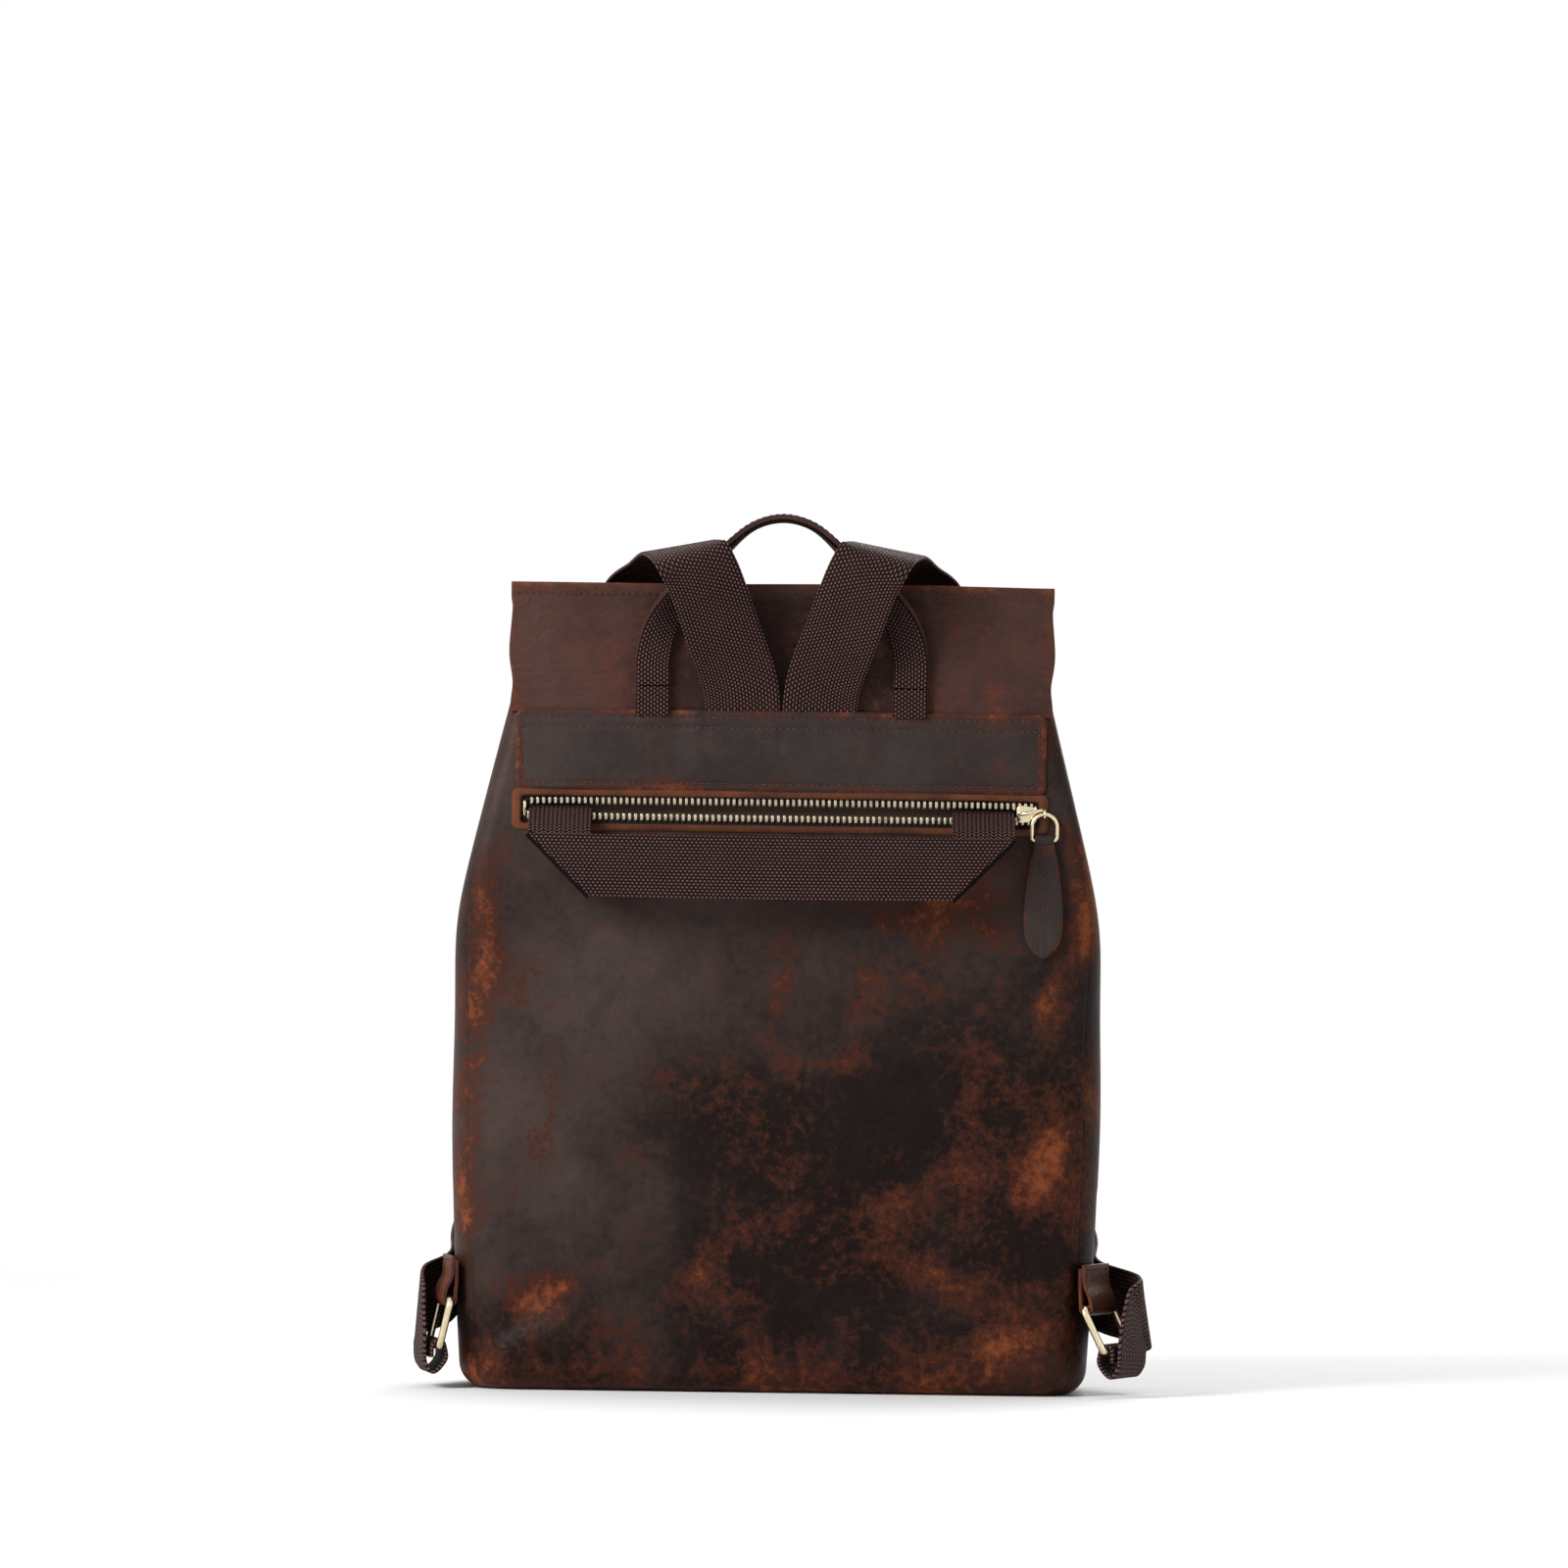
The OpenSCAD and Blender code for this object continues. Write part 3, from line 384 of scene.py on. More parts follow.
class Sock:
    """An output of a node graph that can be used in sums."""

    def __init__(self, graph: "Graph", out: bpy.types.NodeSocket) -> None:
        """Wraps an output."""
        self.graph = graph
        self.out = out

    def __add__(self, other: "Sock | float") -> "Sock":
        """Sum."""
        return self.apply("ADD", other)

    def __radd__(self, other: float) -> "Sock":
        """Sum with a number first."""
        return self.apply("ADD", other)

    def __sub__(self, other: "Sock | float") -> "Sock":
        """Difference."""
        return self.apply("SUBTRACT", other)

    def __rsub__(self, other: float) -> "Sock":
        """Difference from a number."""
        return self.graph.math("SUBTRACT", other, self)

    def __mul__(self, other: "Sock | float") -> "Sock":
        """Product."""
        return self.apply("MULTIPLY", other)

    def __rmul__(self, other: float) -> "Sock":
        """Product with a number first."""
        return self.apply("MULTIPLY", other)

    def __truediv__(self, other: "Sock | float") -> "Sock":
        """Quotient."""
        return self.apply("DIVIDE", other)

    def __abs__(self) -> "Sock":
        """Value without its sign."""
        return self.apply("ABSOLUTE")

    def apply(self, operation: str, *others: "Sock | float") -> "Sock":
        """Another maths operation on this value."""
        return self.graph.math(operation, self, *others)

    def smooth(self, low: float, high: float) -> "Sock":
        """Smooth step of this value.

        Args:
            low: Value that gives 0.
            high: Value that gives 1.

        Returns:
            A value between 0 and 1.
        """
        node = self.graph.node(
            "ShaderNodeMapRange",
            {"interpolation_type": "SMOOTHSTEP"},
            {"Value": self, "From Min": low, "From Max": high},
        )
        return Sock(self.graph, node.outputs["Result"])


class Graph:
    """A node tree with one method that makes nodes."""

    def __init__(self, tree: bpy.types.NodeTree) -> None:
        """Takes over a tree."""
        self.tree = tree

    def node(
        self, kind: str, settings: Settings | None = None, inputs: Inputs | None = None
    ) -> bpy.types.Node:
        """Makes a node, then sets it up and feeds it.

        Args:
            kind: Type of the node.
            settings: Properties that are set first.
            inputs: Values or links by the input's name or number.

        Returns:
            The node.
        """
        made = self.tree.nodes.new(kind)
        for key, value in (settings or {}).items():
            setattr(made, key, value)
        for key, value in (inputs or {}).items():
            socket = made.inputs[key]
            if isinstance(value, Sock):
                self.tree.links.new(value.out, socket)
            elif isinstance(value, bpy.types.NodeSocket):
                self.tree.links.new(value, socket)
            elif socket.type == "RGBA":
                socket.default_value = (*value[:3], 1.0)
            else:
                socket.default_value = value
        return made

    def out(self, kind: str, output: str | int, settings: Settings, inputs: Inputs) -> Sock:
        """Makes a node and takes one of its outputs."""
        return Sock(self, self.node(kind, settings, inputs).outputs[output])

    def math(self, operation: str, *values: Sock | float) -> Sock:
        """One maths node."""
        return self.out("ShaderNodeMath", 0, {"operation": operation}, dict(enumerate(values)))

    def place(self) -> Sock:
        """Object coordinates."""
        return self.out("ShaderNodeTexCoord", "Object", {}, {})

    def uv(self) -> tuple[Sock, Sock]:
        """The piece's own map, in millimetres along and across."""
        along_across = self.out("ShaderNodeUVMap", 0, {"uv_map": "UVMap"}, {})
        return self.split(along_across)[:2]

    def split(self, vector: Sock) -> tuple[Sock, Sock, Sock]:
        """The three coordinates of a vector."""
        parts = self.node("ShaderNodeSeparateXYZ", {}, {0: vector}).outputs
        return Sock(self, parts[0]), Sock(self, parts[1]), Sock(self, parts[2])

    def stretch(self, vector: Sock, factors: Vec3, shift: Vec3 | Sock = (0.0, 0.0, 0.0)) -> Sock:
        """A vector scaled and moved along each axis."""
        inputs = {0: vector, 1: factors, 2: shift}
        return self.out("ShaderNodeVectorMath", 0, {"operation": "MULTIPLY_ADD"}, inputs)

    def noise(self, vector: Sock, scale: float, detail: float = 3.0, rough: float = 0.55) -> Sock:
        """Cloudy noise."""
        inputs = {"Vector": vector, "Scale": scale, "Detail": detail, "Roughness": rough}
        return self.out("ShaderNodeTexNoise", 0, {}, inputs)

    def cells(self, vector: Sock, scale: float) -> Sock:
        """Distance pattern of random cells."""
        return self.out("ShaderNodeTexVoronoi", "Distance", {}, {"Vector": vector, "Scale": scale})

    def blend(self, factor: Sock | float, a: Sock | Colour, b: Sock | Colour) -> Sock:
        """Blend of two colours."""
        return self.out("ShaderNodeMix", 2, {"data_type": "RGBA"}, {0: factor, 6: a, 7: b})

    def bump(self, height: Sock, depth: float, strength: float = 1.0, normal: Sock | None = None) -> Sock:
        """Normal of a height pattern.

        Args:
            height: Height between 0 and 1.
            depth: Depth in metres.
            strength: Weight of the pattern.
            normal: Normal to start from.

        Returns:
            The normal.
        """
        inputs: Inputs = {"Height": height, "Distance": depth, "Strength": strength}
        if normal is not None:
            inputs["Normal"] = normal
        return self.out("ShaderNodeBump", 0, {}, inputs)


# Finishes


@dataclass(frozen=True)
class Finish:
    """A surface that can be made into a material.

    Attributes:
        name: Name of the material.
    """

    name: str

    def make(self) -> bpy.types.Material:
        """Makes the material.

        Returns:
            The material.
        """
        material = bpy.data.materials.new(self.name)
        material.use_nodes = True
        material.node_tree.nodes.clear()
        graph = Graph(material.node_tree)
        inputs = self.paint(graph)
        shader = graph.node("ShaderNodeBsdfPrincipled", {}, inputs)
        graph.node("ShaderNodeOutputMaterial", {}, {"Surface": shader.outputs[0]})
        return material

    def paint(self, g: Graph) -> Inputs:
        """Inputs of the surface shader."""
        raise NotImplementedError


@dataclass(frozen=True)
class LeatherFinish(Finish):
    """Waxed leather whose colour pulls up to rust and orange where it is bent or rubbed.

    Attributes:
        deep: Darkest tone.
        grey: Waxy tone.
        rust: Reddish tone.
        pull: Orange tone of rubbed places.
        rust_share: How much of the surface turns rusty.
        crease: Weight of the creases.
        crease_run: Turns per metre of the creases along each axis.
        roughness: Middle roughness.
    """

    deep: Colour = (0.0072, 0.0036, 0.0028)
    grey: Colour = (0.066, 0.0445, 0.0395)
    rust: Colour = (0.046, 0.0135, 0.0078)
    pull: Colour = (0.2, 0.052, 0.0165)
    rust_share: float = 0.06
    crease: float = 0.5
    crease_run: Vec3 = (55.0, 55.0, 55.0)
    roughness: float = 0.46

    def paint(self, g: Graph) -> Inputs:
        """Mottled colour darkened by painted shade, soft sheen and a fine grain.

        Args:
            g: Graph to build in.

        Returns:
            Inputs by name.
        """
        p = g.place()
        swirl = g.out("ShaderNodeTexNoise", "Color", {}, {"Vector": p, "Scale": 21.0, "Detail": 3.0})
        bent = g.stretch(swirl, (0.035, 0.035, 0.035), p)
        cloud = g.noise(bent, 9.0, 5.0, 0.6)
        drift = g.noise(bent, 31.0, 6.0, 0.66)
        warm = g.noise(g.stretch(bent, (1, 1, 1), (3.1, 1.7, 5.3)), 12.0, 6.0, 0.64)
        fleck = g.noise(p, 260.0, 4.0, 0.7)
        rub = g.out("ShaderNodeAttribute", "Fac", {"attribute_name": "rub"}, {})
        # painted shade attribute: it darkens the tone where shade is painted, and pulls it slightly towards rust
        painted_shade = g.out("ShaderNodeAttribute", "Fac", {"attribute_name": "painted_shade"}, {})
        tone = (cloud * 0.6 + drift * 0.22 + fleck * 0.18 - painted_shade * 0.2).smooth(0.27, 0.73)
        colour = g.blend(tone, self.deep, self.grey)
        worn = rub * 0.95 + painted_shade * 0.06 + self.rust_share
        worn = worn + (warm - 0.5) * 1.9 + (drift - 0.5) * 1.8 + (fleck - 0.5) * 1.5
        colour = g.blend(worn.smooth(0.06, 0.54) * 0.88, colour, self.rust)
        colour = g.blend(worn.smooth(0.46, 1.25), colour, self.pull)
        vein = abs(g.noise(bent, 120.0, 3.0, 0.6) - 0.5).smooth(0.03, 0.0) * worn.smooth(0.2, 0.7) * 0.16
        colour = g.blend(vein, colour, self.pull)
        streak = abs(g.noise(g.stretch(p, (70.0, 70.0, 520.0)), 1.0, 2.0) - 0.5).smooth(0.012, 0.0)
        upright = g.stretch(p, (420.0, 420.0, 60.0), (9.0, 2.0, 4.0))
        nick = abs(g.noise(upright, 1.0, 2.0) - 0.5).smooth(0.01, 0.0)
        marks = (streak + nick) * drift.smooth(0.5, 0.75) * 0.25
        colour = g.blend(marks, colour, self.pull)
        folds = g.noise(g.stretch(bent, self.crease_run), 1.0, 4.0, 0.62)
        grain = g.cells(p, 620.0)
        normal = g.bump(folds, 0.0016, self.crease)
        normal = g.bump(grain * 0.7 + fleck * 0.6, 0.00022, 0.6, normal)
        rough = self.roughness + (drift - 0.5) * 0.35 + (fleck - 0.5) * 0.25
        return {"Base Color": colour, "Roughness": rough, "Normal": normal, "Specular IOR Level": 0.07}


@dataclass(frozen=True)
class RawFinish(Finish):
    """Cut leather edge or leather flesh side.

    Attributes:
        light: Light fibres.
        dark: Dark fibres.
    """

    light: Colour = (0.125, 0.037, 0.0135)
    dark: Colour = (0.035, 0.012, 0.007)

    def paint(self, g: Graph) -> Inputs:
        """Fibrous orange-brown.

        Args:
            g: Graph to build in.

        Returns:
            Inputs by name.
        """
        p = g.place()
        fibre = g.noise(p, 900.0, 4.0, 0.7)
        patch = g.noise(p, 45.0, 3.0)
        colour = g.blend((fibre * 0.5 + patch * 0.6).smooth(0.36, 0.72), self.dark, self.light)
        rough = 0.62 + fibre * 0.3
        bumpy = g.bump(fibre, 0.0002, 0.7)
        return {"Base Color": colour, "Roughness": rough, "Normal": bumpy, "Specular IOR Level": 0.2}


class Weave(Enum):
    """How the yarns of a webbing lie."""

    OVALS = "ovals"
    CHEVRON = "chevron"


@dataclass(frozen=True)
class WebbingFinish(Finish):
    """Woven strap with its pattern along the piece's own map.

    Attributes:
        weave: Pattern of the yarns.
        yarn: Lit yarn.
        gap: Painted shade between the yarns.
        pitch: Pattern length along the strap in millimetres.
        rib: Width of a rib across the strap in millimetres.
        depth: Depth of the weave in metres.
    """

    weave: Weave = Weave.OVALS
    yarn: Colour = (0.128, 0.066, 0.059)
    gap: Colour = (0.004, 0.002, 0.0019)
    pitch: float = 2.1
    rib: float = 1.55
    depth: float = 0.0007

    def paint(self, g: Graph) -> Inputs:
        """Yarns with painted highlights, and painted shade in the gaps.

        Args:
            g: Graph to build in.

        Returns:
            Inputs by name.
        """
        u, v = g.uv()
        rib = v / self.rib
        row = rib.apply("FLOOR")
        side = rib.apply("FRACT") - 0.5
        odd = (row * 0.5).apply("FRACT") * 2.0
        if self.weave is Weave.OVALS:
            step = (u / self.pitch + odd * 0.5).apply("FRACT") - 0.5
            height = 1.0 - (side * side * 3.4 + step * step * 3.6)
        else:
            slope = (odd * 2.0 - 1.0) * side * 0.9
            step = (u / self.pitch + slope).apply("FRACT") - 0.5
            height = 1.0 - (side * side * 2.2 + step * step * 4.2)
        height = height.apply("MAXIMUM", 0.0)
        p = g.place()
        fuzz = g.noise(p, 1500.0, 3.0, 0.7)
        wear = g.noise(p, 35.0, 3.0)
        # painted light: the colour follows the weave height, lit on the yarn tops and painted shade in the gaps
        lit = (height * 0.9 + fuzz * 0.3 + wear * 0.2 - 0.25).smooth(0.3, 0.9)
        colour = g.blend(lit, self.gap, self.yarn)
        normal = g.bump(height + fuzz * 0.25, self.depth, 0.9)
        rough = 0.72 - height * 0.16
        return {"Base Color": colour, "Roughness": rough, "Normal": normal, "Specular IOR Level": 0.06}


@dataclass(frozen=True)
class BrassFinish(Finish):
    """Pale cast brass with small scratches.

    Attributes:
        colour: Metal colour.
        dull: Colour of handled places.
        roughness: Middle roughness.
    """

    colour: Colour = (0.72, 0.61, 0.41)
    dull: Colour = (0.36, 0.27, 0.14)
    roughness: float = 0.22

    def paint(self, g: Graph) -> Inputs:
        """Metal with a touch of patina.

        Args:
            g: Graph to build in.

        Returns:
            Inputs by name.
        """
        p = g.place()
        haze = g.noise(p, 160.0, 4.0)
        fine = g.noise(p, 1400.0, 2.0)
        colour = g.blend((haze * 0.8 + fine * 0.2).smooth(0.5, 0.8), self.colour, self.dull)
        rough = self.roughness + (haze - 0.5) * 0.25
        bumpy = g.bump(fine, 0.00004, 0.3)
        return {"Base Color": colour, "Metallic": 1.0, "Roughness": rough, "Normal": bumpy}


@dataclass(frozen=True)
class ClothFinish(Finish):
    """Plain woven cloth or tape.

    Attributes:
        light: Lit threads.
        dark: Shaded threads.
        count: Threads per metre.
    """

    light: Colour = (0.11, 0.075, 0.05)
    dark: Colour = (0.045, 0.03, 0.02)
    count: float = 1500.0

    def paint(self, g: Graph) -> Inputs:
        """Crossing threads.

        Args:
            g: Graph to build in.

        Returns:
            Inputs by name.
        """
        p = g.place()
        x, y, z = g.split(p)
        warp = ((x + y) * self.count * math.pi).apply("SINE")
        weft = (z * self.count * math.pi).apply("SINE")
        thread = abs(warp) * 0.5 + abs(weft) * 0.5
        patch = g.noise(p, 20.0, 4.0)
        colour = g.blend((thread * 0.5 + patch * 0.6).smooth(0.2, 0.9), self.dark, self.light)
        bumpy = g.bump(thread, 0.0002, 0.5)
        return {"Base Color": colour, "Roughness": 0.85, "Normal": bumpy, "Specular IOR Level": 0.15}


@dataclass(frozen=True)
class ThreadFinish(Finish):
    """Waxed sewing thread.

    Attributes:
        colour: Thread colour.
        dark: Shaded side.
    """

    colour: Colour = (0.12, 0.044, 0.034)
    dark: Colour = (0.026, 0.01, 0.008)

    def paint(self, g: Graph) -> Inputs:
        """Twisted thread.

        Args:
            g: Graph to build in.

        Returns:
            Inputs by name.
        """
        p = g.place()
        ply = g.noise(p, 1700.0, 2.0)
        colour = g.blend(ply.smooth(0.3, 0.7), self.dark, self.colour)
        bumpy = g.bump(ply, 0.0002, 0.5)
        return {"Base Color": colour, "Roughness": 0.6, "Normal": bumpy, "Specular IOR Level": 0.12}


@dataclass(frozen=True)
class BoardFinish(Finish):
    """Grey-brown board.

    Attributes:
        colour: Board colour.
        dark: Fibre colour.
    """

    colour: Colour = (0.3, 0.22, 0.14)
    dark: Colour = (0.16, 0.11, 0.07)

    def paint(self, g: Graph) -> Inputs:
        """Pressed fibre."""
        fibre = g.noise(g.place(), 400.0, 4.0)
        return {"Base Color": g.blend(fibre, self.dark, self.colour), "Roughness": 0.9}


class Paint(Enum):
    """The finishes of the bag."""

    BODY = LeatherFinish("body_leather")
    FLAP = LeatherFinish(
        "flap_leather",
        deep=(0.023, 0.0112, 0.0092),
        grey=(0.078, 0.0385, 0.032),
        rust=(0.072, 0.025, 0.0165),
        rust_share=0.02,
        crease=0.8,
        crease_run=(26.0, 60.0, 210.0),
        roughness=0.5,
    )
    TRIM = LeatherFinish(
        "trim_leather",
        deep=(0.015, 0.0102, 0.0092),
        grey=(0.05, 0.0375, 0.0345),
        rust=(0.05, 0.0185, 0.0125),
        rust_share=-0.04,
        crease=0.35,
    )
    TAB = LeatherFinish(
        "tab_leather",
        deep=(0.026, 0.011, 0.008),
        grey=(0.056, 0.025, 0.019),
        rust=(0.085, 0.026, 0.014),
        rust_share=0.2,
    )
    RAW = RawFinish("raw_edge")
    EDGE = RawFinish("dyed_edge", light=(0.05, 0.019, 0.013), dark=(0.018, 0.009, 0.007))
    FLESH = RawFinish("flesh_side", light=(0.1, 0.055, 0.034), dark=(0.045, 0.024, 0.016))
    STRAP = WebbingFinish("strap_webbing")
    BAND = WebbingFinish("band_webbing", weave=Weave.CHEVRON, pitch=1.9, rib=2.1)
    BRASS = BrassFinish("brass")
    TEETH = BrassFinish("zip_brass", colour=(0.5, 0.44, 0.33), dull=(0.14, 0.11, 0.07), roughness=0.27)
    TAPE = ClothFinish("zip_tape", light=(0.03, 0.022, 0.021), dark=(0.008, 0.006, 0.006), count=1100.0)
    LINING = ClothFinish("lining")
    THREAD = ThreadFinish("thread")
    BOARD = BoardFinish("board")


# Meshes


class MeshBuild:
    """Gathers points in millimetres, faces, finishes, a map and the wear of one mesh."""

    def __init__(self, *paints: bpy.types.Material) -> None:
        """Starts an empty mesh.

        Args:
            paints: Materials that faces name by number.
        """
        self.paints = paints
        self.points: list[Array] = []
        self.maps: list[Array] = []
        self.wear: list[Array] = []
        self.faces: list[list[int]] = []
        self.ids: list[int] = []
        self.count = 0

    def add(self, points: Array, uv: Array | None = None, rub: Array | None = None) -> int:
        """Adds points.

        Args:
            points: Points with shape (n, 3).
            uv: Map of each point.
            rub: Wear of each point.

        Returns:
            Number of the first one.
        """
        first, n = self.count, len(points)
        self.points.append(np.asarray(points, float))
        self.maps.append(np.zeros((n, 2)) if uv is None else np.asarray(uv, float))
        self.wear.append(np.zeros(n) if rub is None else np.asarray(rub, float))
        self.count += n
        return first

    def put(self, faces: Array | Iterable[Sequence[int]], paint: int = 0) -> None:
        """Adds faces.

        Args:
            faces: Corner numbers of each face.
            paint: Number of the material.
        """
        listed = faces.tolist() if isinstance(faces, np.ndarray) else [list(f) for f in faces]
        self.faces += listed
        self.ids += [paint] * len(listed)

    def sheet(
        self,
        outer: Array,
        thickness: float | Array,
        paints: tuple[int, int, int] = (0, 0, 0),
        keep: Array | None = None,
        rub: Array | None = None,
        inner: Array | None = None,
    ) -> None:
        """Adds a sheet with thickness behind a grid of points.

        Args:
            outer: Grid of its outer face.
            thickness: Thickness towards the inside.
            paints: Material numbers of the face, the back and the edge.
            keep: Which faces of the grid stay.
            rub: Wear of each grid point.
            inner: Grid of its back, where it isn't worked out from the thickness.
        """
        rows, cols, _ = outer.shape
        total = rows * cols
        if inner is None:
            inner = outer - grid_normals(outer) * thickness
        width = np.linalg.norm(np.diff(outer, axis=1, prepend=outer[:, :1]), axis=-1).cumsum(axis=1)
        height = np.linalg.norm(np.diff(outer, axis=0, prepend=outer[:1]), axis=-1).cumsum(axis=0)
        uv = np.stack([width, height], -1).reshape(-1, 2)
        worn = None if rub is None else rub.reshape(-1)
        a = self.add(outer.reshape(-1, 3), uv, worn)
        b = self.add(inner.reshape(-1, 3), uv, worn)
        n = np.arange(total).reshape(rows, cols)
        quads = np.stack([n[:-1, :-1], n[:-1, 1:], n[1:, 1:], n[1:, :-1]], -1)
        quads = quads.reshape(-1, 4) if keep is None else quads[keep]
        self.put(quads + a, paints[0])
        self.put(quads[:, ::-1] + b, paints[1])
        edges = np.concatenate([quads[:, [k, (k + 1) % 4]] for k in range(4)])
        lone = edges[~np.isin(edges[:, 0] * total + edges[:, 1], edges[:, 1] * total + edges[:, 0])]
        self.put(np.stack([lone[:, 1] + a, lone[:, 0] + a, lone[:, 0] + b, lone[:, 1] + b], -1), paints[2])

    def loft(
        self, rings: Array, closed: bool, paint: Rule = 0, uv: Array | None = None, rub: float = 0.0
    ) -> None:
        """Adds a skin over rings of points, with caps where it is open.

        Args:
            rings: Points with shape (rings, points of a ring, 3).
            closed: Whether the last ring meets the first.
            paint: Material number, or a rule that gives it for a place round the ring.
            uv: Map of each point.
            rub: Wear of the whole skin.
        """
        rows, cols = rings.shape[:2]
        first = self.add(rings.reshape(-1, 3), uv, np.full(rows * cols, rub))
        rule = paint if callable(paint) else (lambda _k: paint)
        i = np.arange(rows if closed else rows - 1)
        j = (i + 1) % rows
        for k in range(cols):
            m = (k + 1) % cols
            quads = np.stack([i * cols + k, j * cols + k, j * cols + m, i * cols + m], -1)
            self.put(quads + first, rule(k))
        if not closed:
            cap = np.arange(cols) + first
            self.put([cap, cap[::-1] + (rows - 1) * cols], rule(0))

    def sweep(
        self, path: Array, widths: Array, section: Array,
        paint: Rule = 0, closed: bool = False, rub: float = 0.0,
    ) -> None:
        """Adds a section swept along a path.

        Args:
            path: Points of the path.
            widths: Direction of the section's first axis at each point.
            section: Closed section, as pairs of across and out.
            paint: Material number, or a rule that gives it for a place round the section.
            closed: Whether the path closes on itself.
            rub: Wear of the whole strip.
        """
        tangent = tangents(path, closed)
        out = unit(np.cross(widths, tangent))
        side = np.cross(tangent, out)
        rings = path[:, None] + side[:, None] * section[None, :, :1] + out[:, None] * section[None, :, 1:]
        uv = np.stack(np.broadcast_arrays(along(path)[:, None], section[None, :, 0]), -1)
        self.loft(rings, closed, paint, uv.reshape(-1, 2), rub)

    def tube(
        self, path: Array, radius: float | Array, closed: bool = False, sides: int = 14, paint: int = 0
    ) -> None:
        """Adds a round wire along a path.

        Args:
            path: Points of the path.
            radius: Radius, one for all or one for each point.
            closed: Whether the wire closes on itself.
            sides: Sides of the wire.
            paint: Material number.
        """
        tangent = tangents(path, closed)
        normal = np.cross(tangent[0], np.eye(3)[np.argmin(np.abs(tangent[0]))])
        frames = []
        for t in tangent:
            normal = unit(normal - t * np.dot(normal, t))
            frames.append(normal)
        across = np.array(frames)
        a = np.linspace(0, 2 * math.pi, sides, endpoint=False)[None, :, None]
        ring = across[:, None] * np.cos(a) + np.cross(tangent, across)[:, None] * np.sin(a)
        self.loft(path[:, None] + np.reshape(radius, (-1, 1, 1)) * ring, closed, paint)

    def lathe(self, x: float, y: float, z: float, profile: Sequence[tuple[float, float]]) -> None:
        """Adds a shape turned about a line from back to front.

        Args:
            x: Place of the line across.
            y: Where heights start.
            z: Height of the line.
            profile: Pairs of radius and height, from back to front.
        """
        a = np.linspace(0, 2 * math.pi, 36, endpoint=False)
        rings = [xyz(x + r * np.cos(a), y + h, z + r * np.sin(a)) for r, h in profile]
        self.loft(np.array(rings), False)

    def object(self, name: str, bevel: float = 0.0, angle: float = 42.0) -> bpy.types.Object:
        """Makes the object, in metres and at the origin.

        Args:
            name: Name of the object.
            bevel: Size of the softened sharp edges in millimetres.
            angle: Angle above which an edge is shaded sharp.

        Returns:
            The object.
        """
        points = np.concatenate(self.points) * MM
        used = np.unique(np.concatenate([np.asarray(f) for f in self.faces]))
        renumber = np.full(len(points), -1)
        renumber[used] = np.arange(len(used))
        mesh = bpy.data.meshes.new(name)
        mesh.from_pydata(points[used].tolist(), [], [[int(renumber[i]) for i in f] for f in self.faces])
        for paint in self.paints:
            mesh.materials.append(paint)
        mesh.polygons.foreach_set("material_index", self.ids)
        corner = np.zeros(len(mesh.loops), dtype=np.int32)
        mesh.loops.foreach_get("vertex_index", corner)
        layer = mesh.uv_layers.new(name="UVMap")
        layer.data.foreach_set("uv", np.concatenate(self.maps)[used][corner].astype(np.float32).ravel())
        wear = mesh.attributes.new("rub", "FLOAT", "POINT")
        wear.data.foreach_set("value", np.concatenate(self.wear)[used].astype(np.float32))
        shape = bmesh.new()
        shape.from_mesh(mesh)
        bmesh.ops.remove_doubles(shape, verts=shape.verts, dist=2e-6)
        bmesh.ops.recalc_face_normals(shape, faces=shape.faces)
        if bevel > 0:
            limit = math.radians(50)
            sharp = [e for e in shape.edges if len(e.link_faces) == 2 and e.calc_face_angle() > limit]
            bmesh.ops.bevel(
                shape, geom=sharp, offset=bevel * MM, offset_type="OFFSET", segments=2, profile=0.5,
                affect="EDGES", clamp_overlap=True,
            )
        shape.to_mesh(mesh)
        shape.free()
        mesh.polygons.foreach_set("use_smooth", [True] * len(mesh.polygons))
        mesh.set_sharp_from_angle(angle=math.radians(angle))
        mesh.update()
        return link(name, mesh)


# Rows made with Geometry Nodes


@dataclass(frozen=True)
class RowTree:
    """A node group that sets small shapes along lines.

    Attributes:
        name: Name of the group.
        shape: Builds the small shape from the graph and the size input.
    """

    name: str
    shape: Callable[[Graph, Sock], Sock]

    def make(self) -> bpy.types.NodeTree:
        """Makes the group.

        Returns:
            The group, with inputs for the lines, pitch, size and material.
        """
        tree = bpy.data.node_groups.new(self.name, "GeometryNodeTree")
        sockets = {"Geometry": "Geometry", "Pitch": "Float", "Size": "Vector", "Material": "Material"}
        for name, kind in sockets.items():
            tree.interface.new_socket(name, in_out="INPUT", socket_type="NodeSocket" + kind)
        tree.interface.new_socket("Geometry", in_out="OUTPUT", socket_type="NodeSocketGeometry")
        g = Graph(tree)
        given = g.node("NodeGroupInput").outputs
        lines = g.out("GeometryNodeMeshToCurve", 0, {}, {0: given[0]})
        even = g.out("GeometryNodeResampleCurve", 0, {"mode": "LENGTH"}, {"Curve": lines, "Length": given[1]})
        tangent = g.out("GeometryNodeInputTangent", 0, {}, {})
        turn = g.out("FunctionNodeAlignRotationToVector", 0, {"axis": "X"}, {"Vector": tangent})
        one = self.shape(g, Sock(g, given[2]))
        placed = {"Points": even, "Instance": one, "Rotation": turn}
        many = g.out("GeometryNodeInstanceOnPoints", 0, {}, placed)
        whole = g.out("GeometryNodeRealizeInstances", 0, {}, {0: many})
        soft = g.out("GeometryNodeSetShadeSmooth", 0, {}, {0: whole})
        painted = g.out("GeometryNodeSetMaterial", 0, {}, {"Geometry": soft, "Material": given[3]})
        g.node("NodeGroupOutput", {}, {0: painted})
        return tree


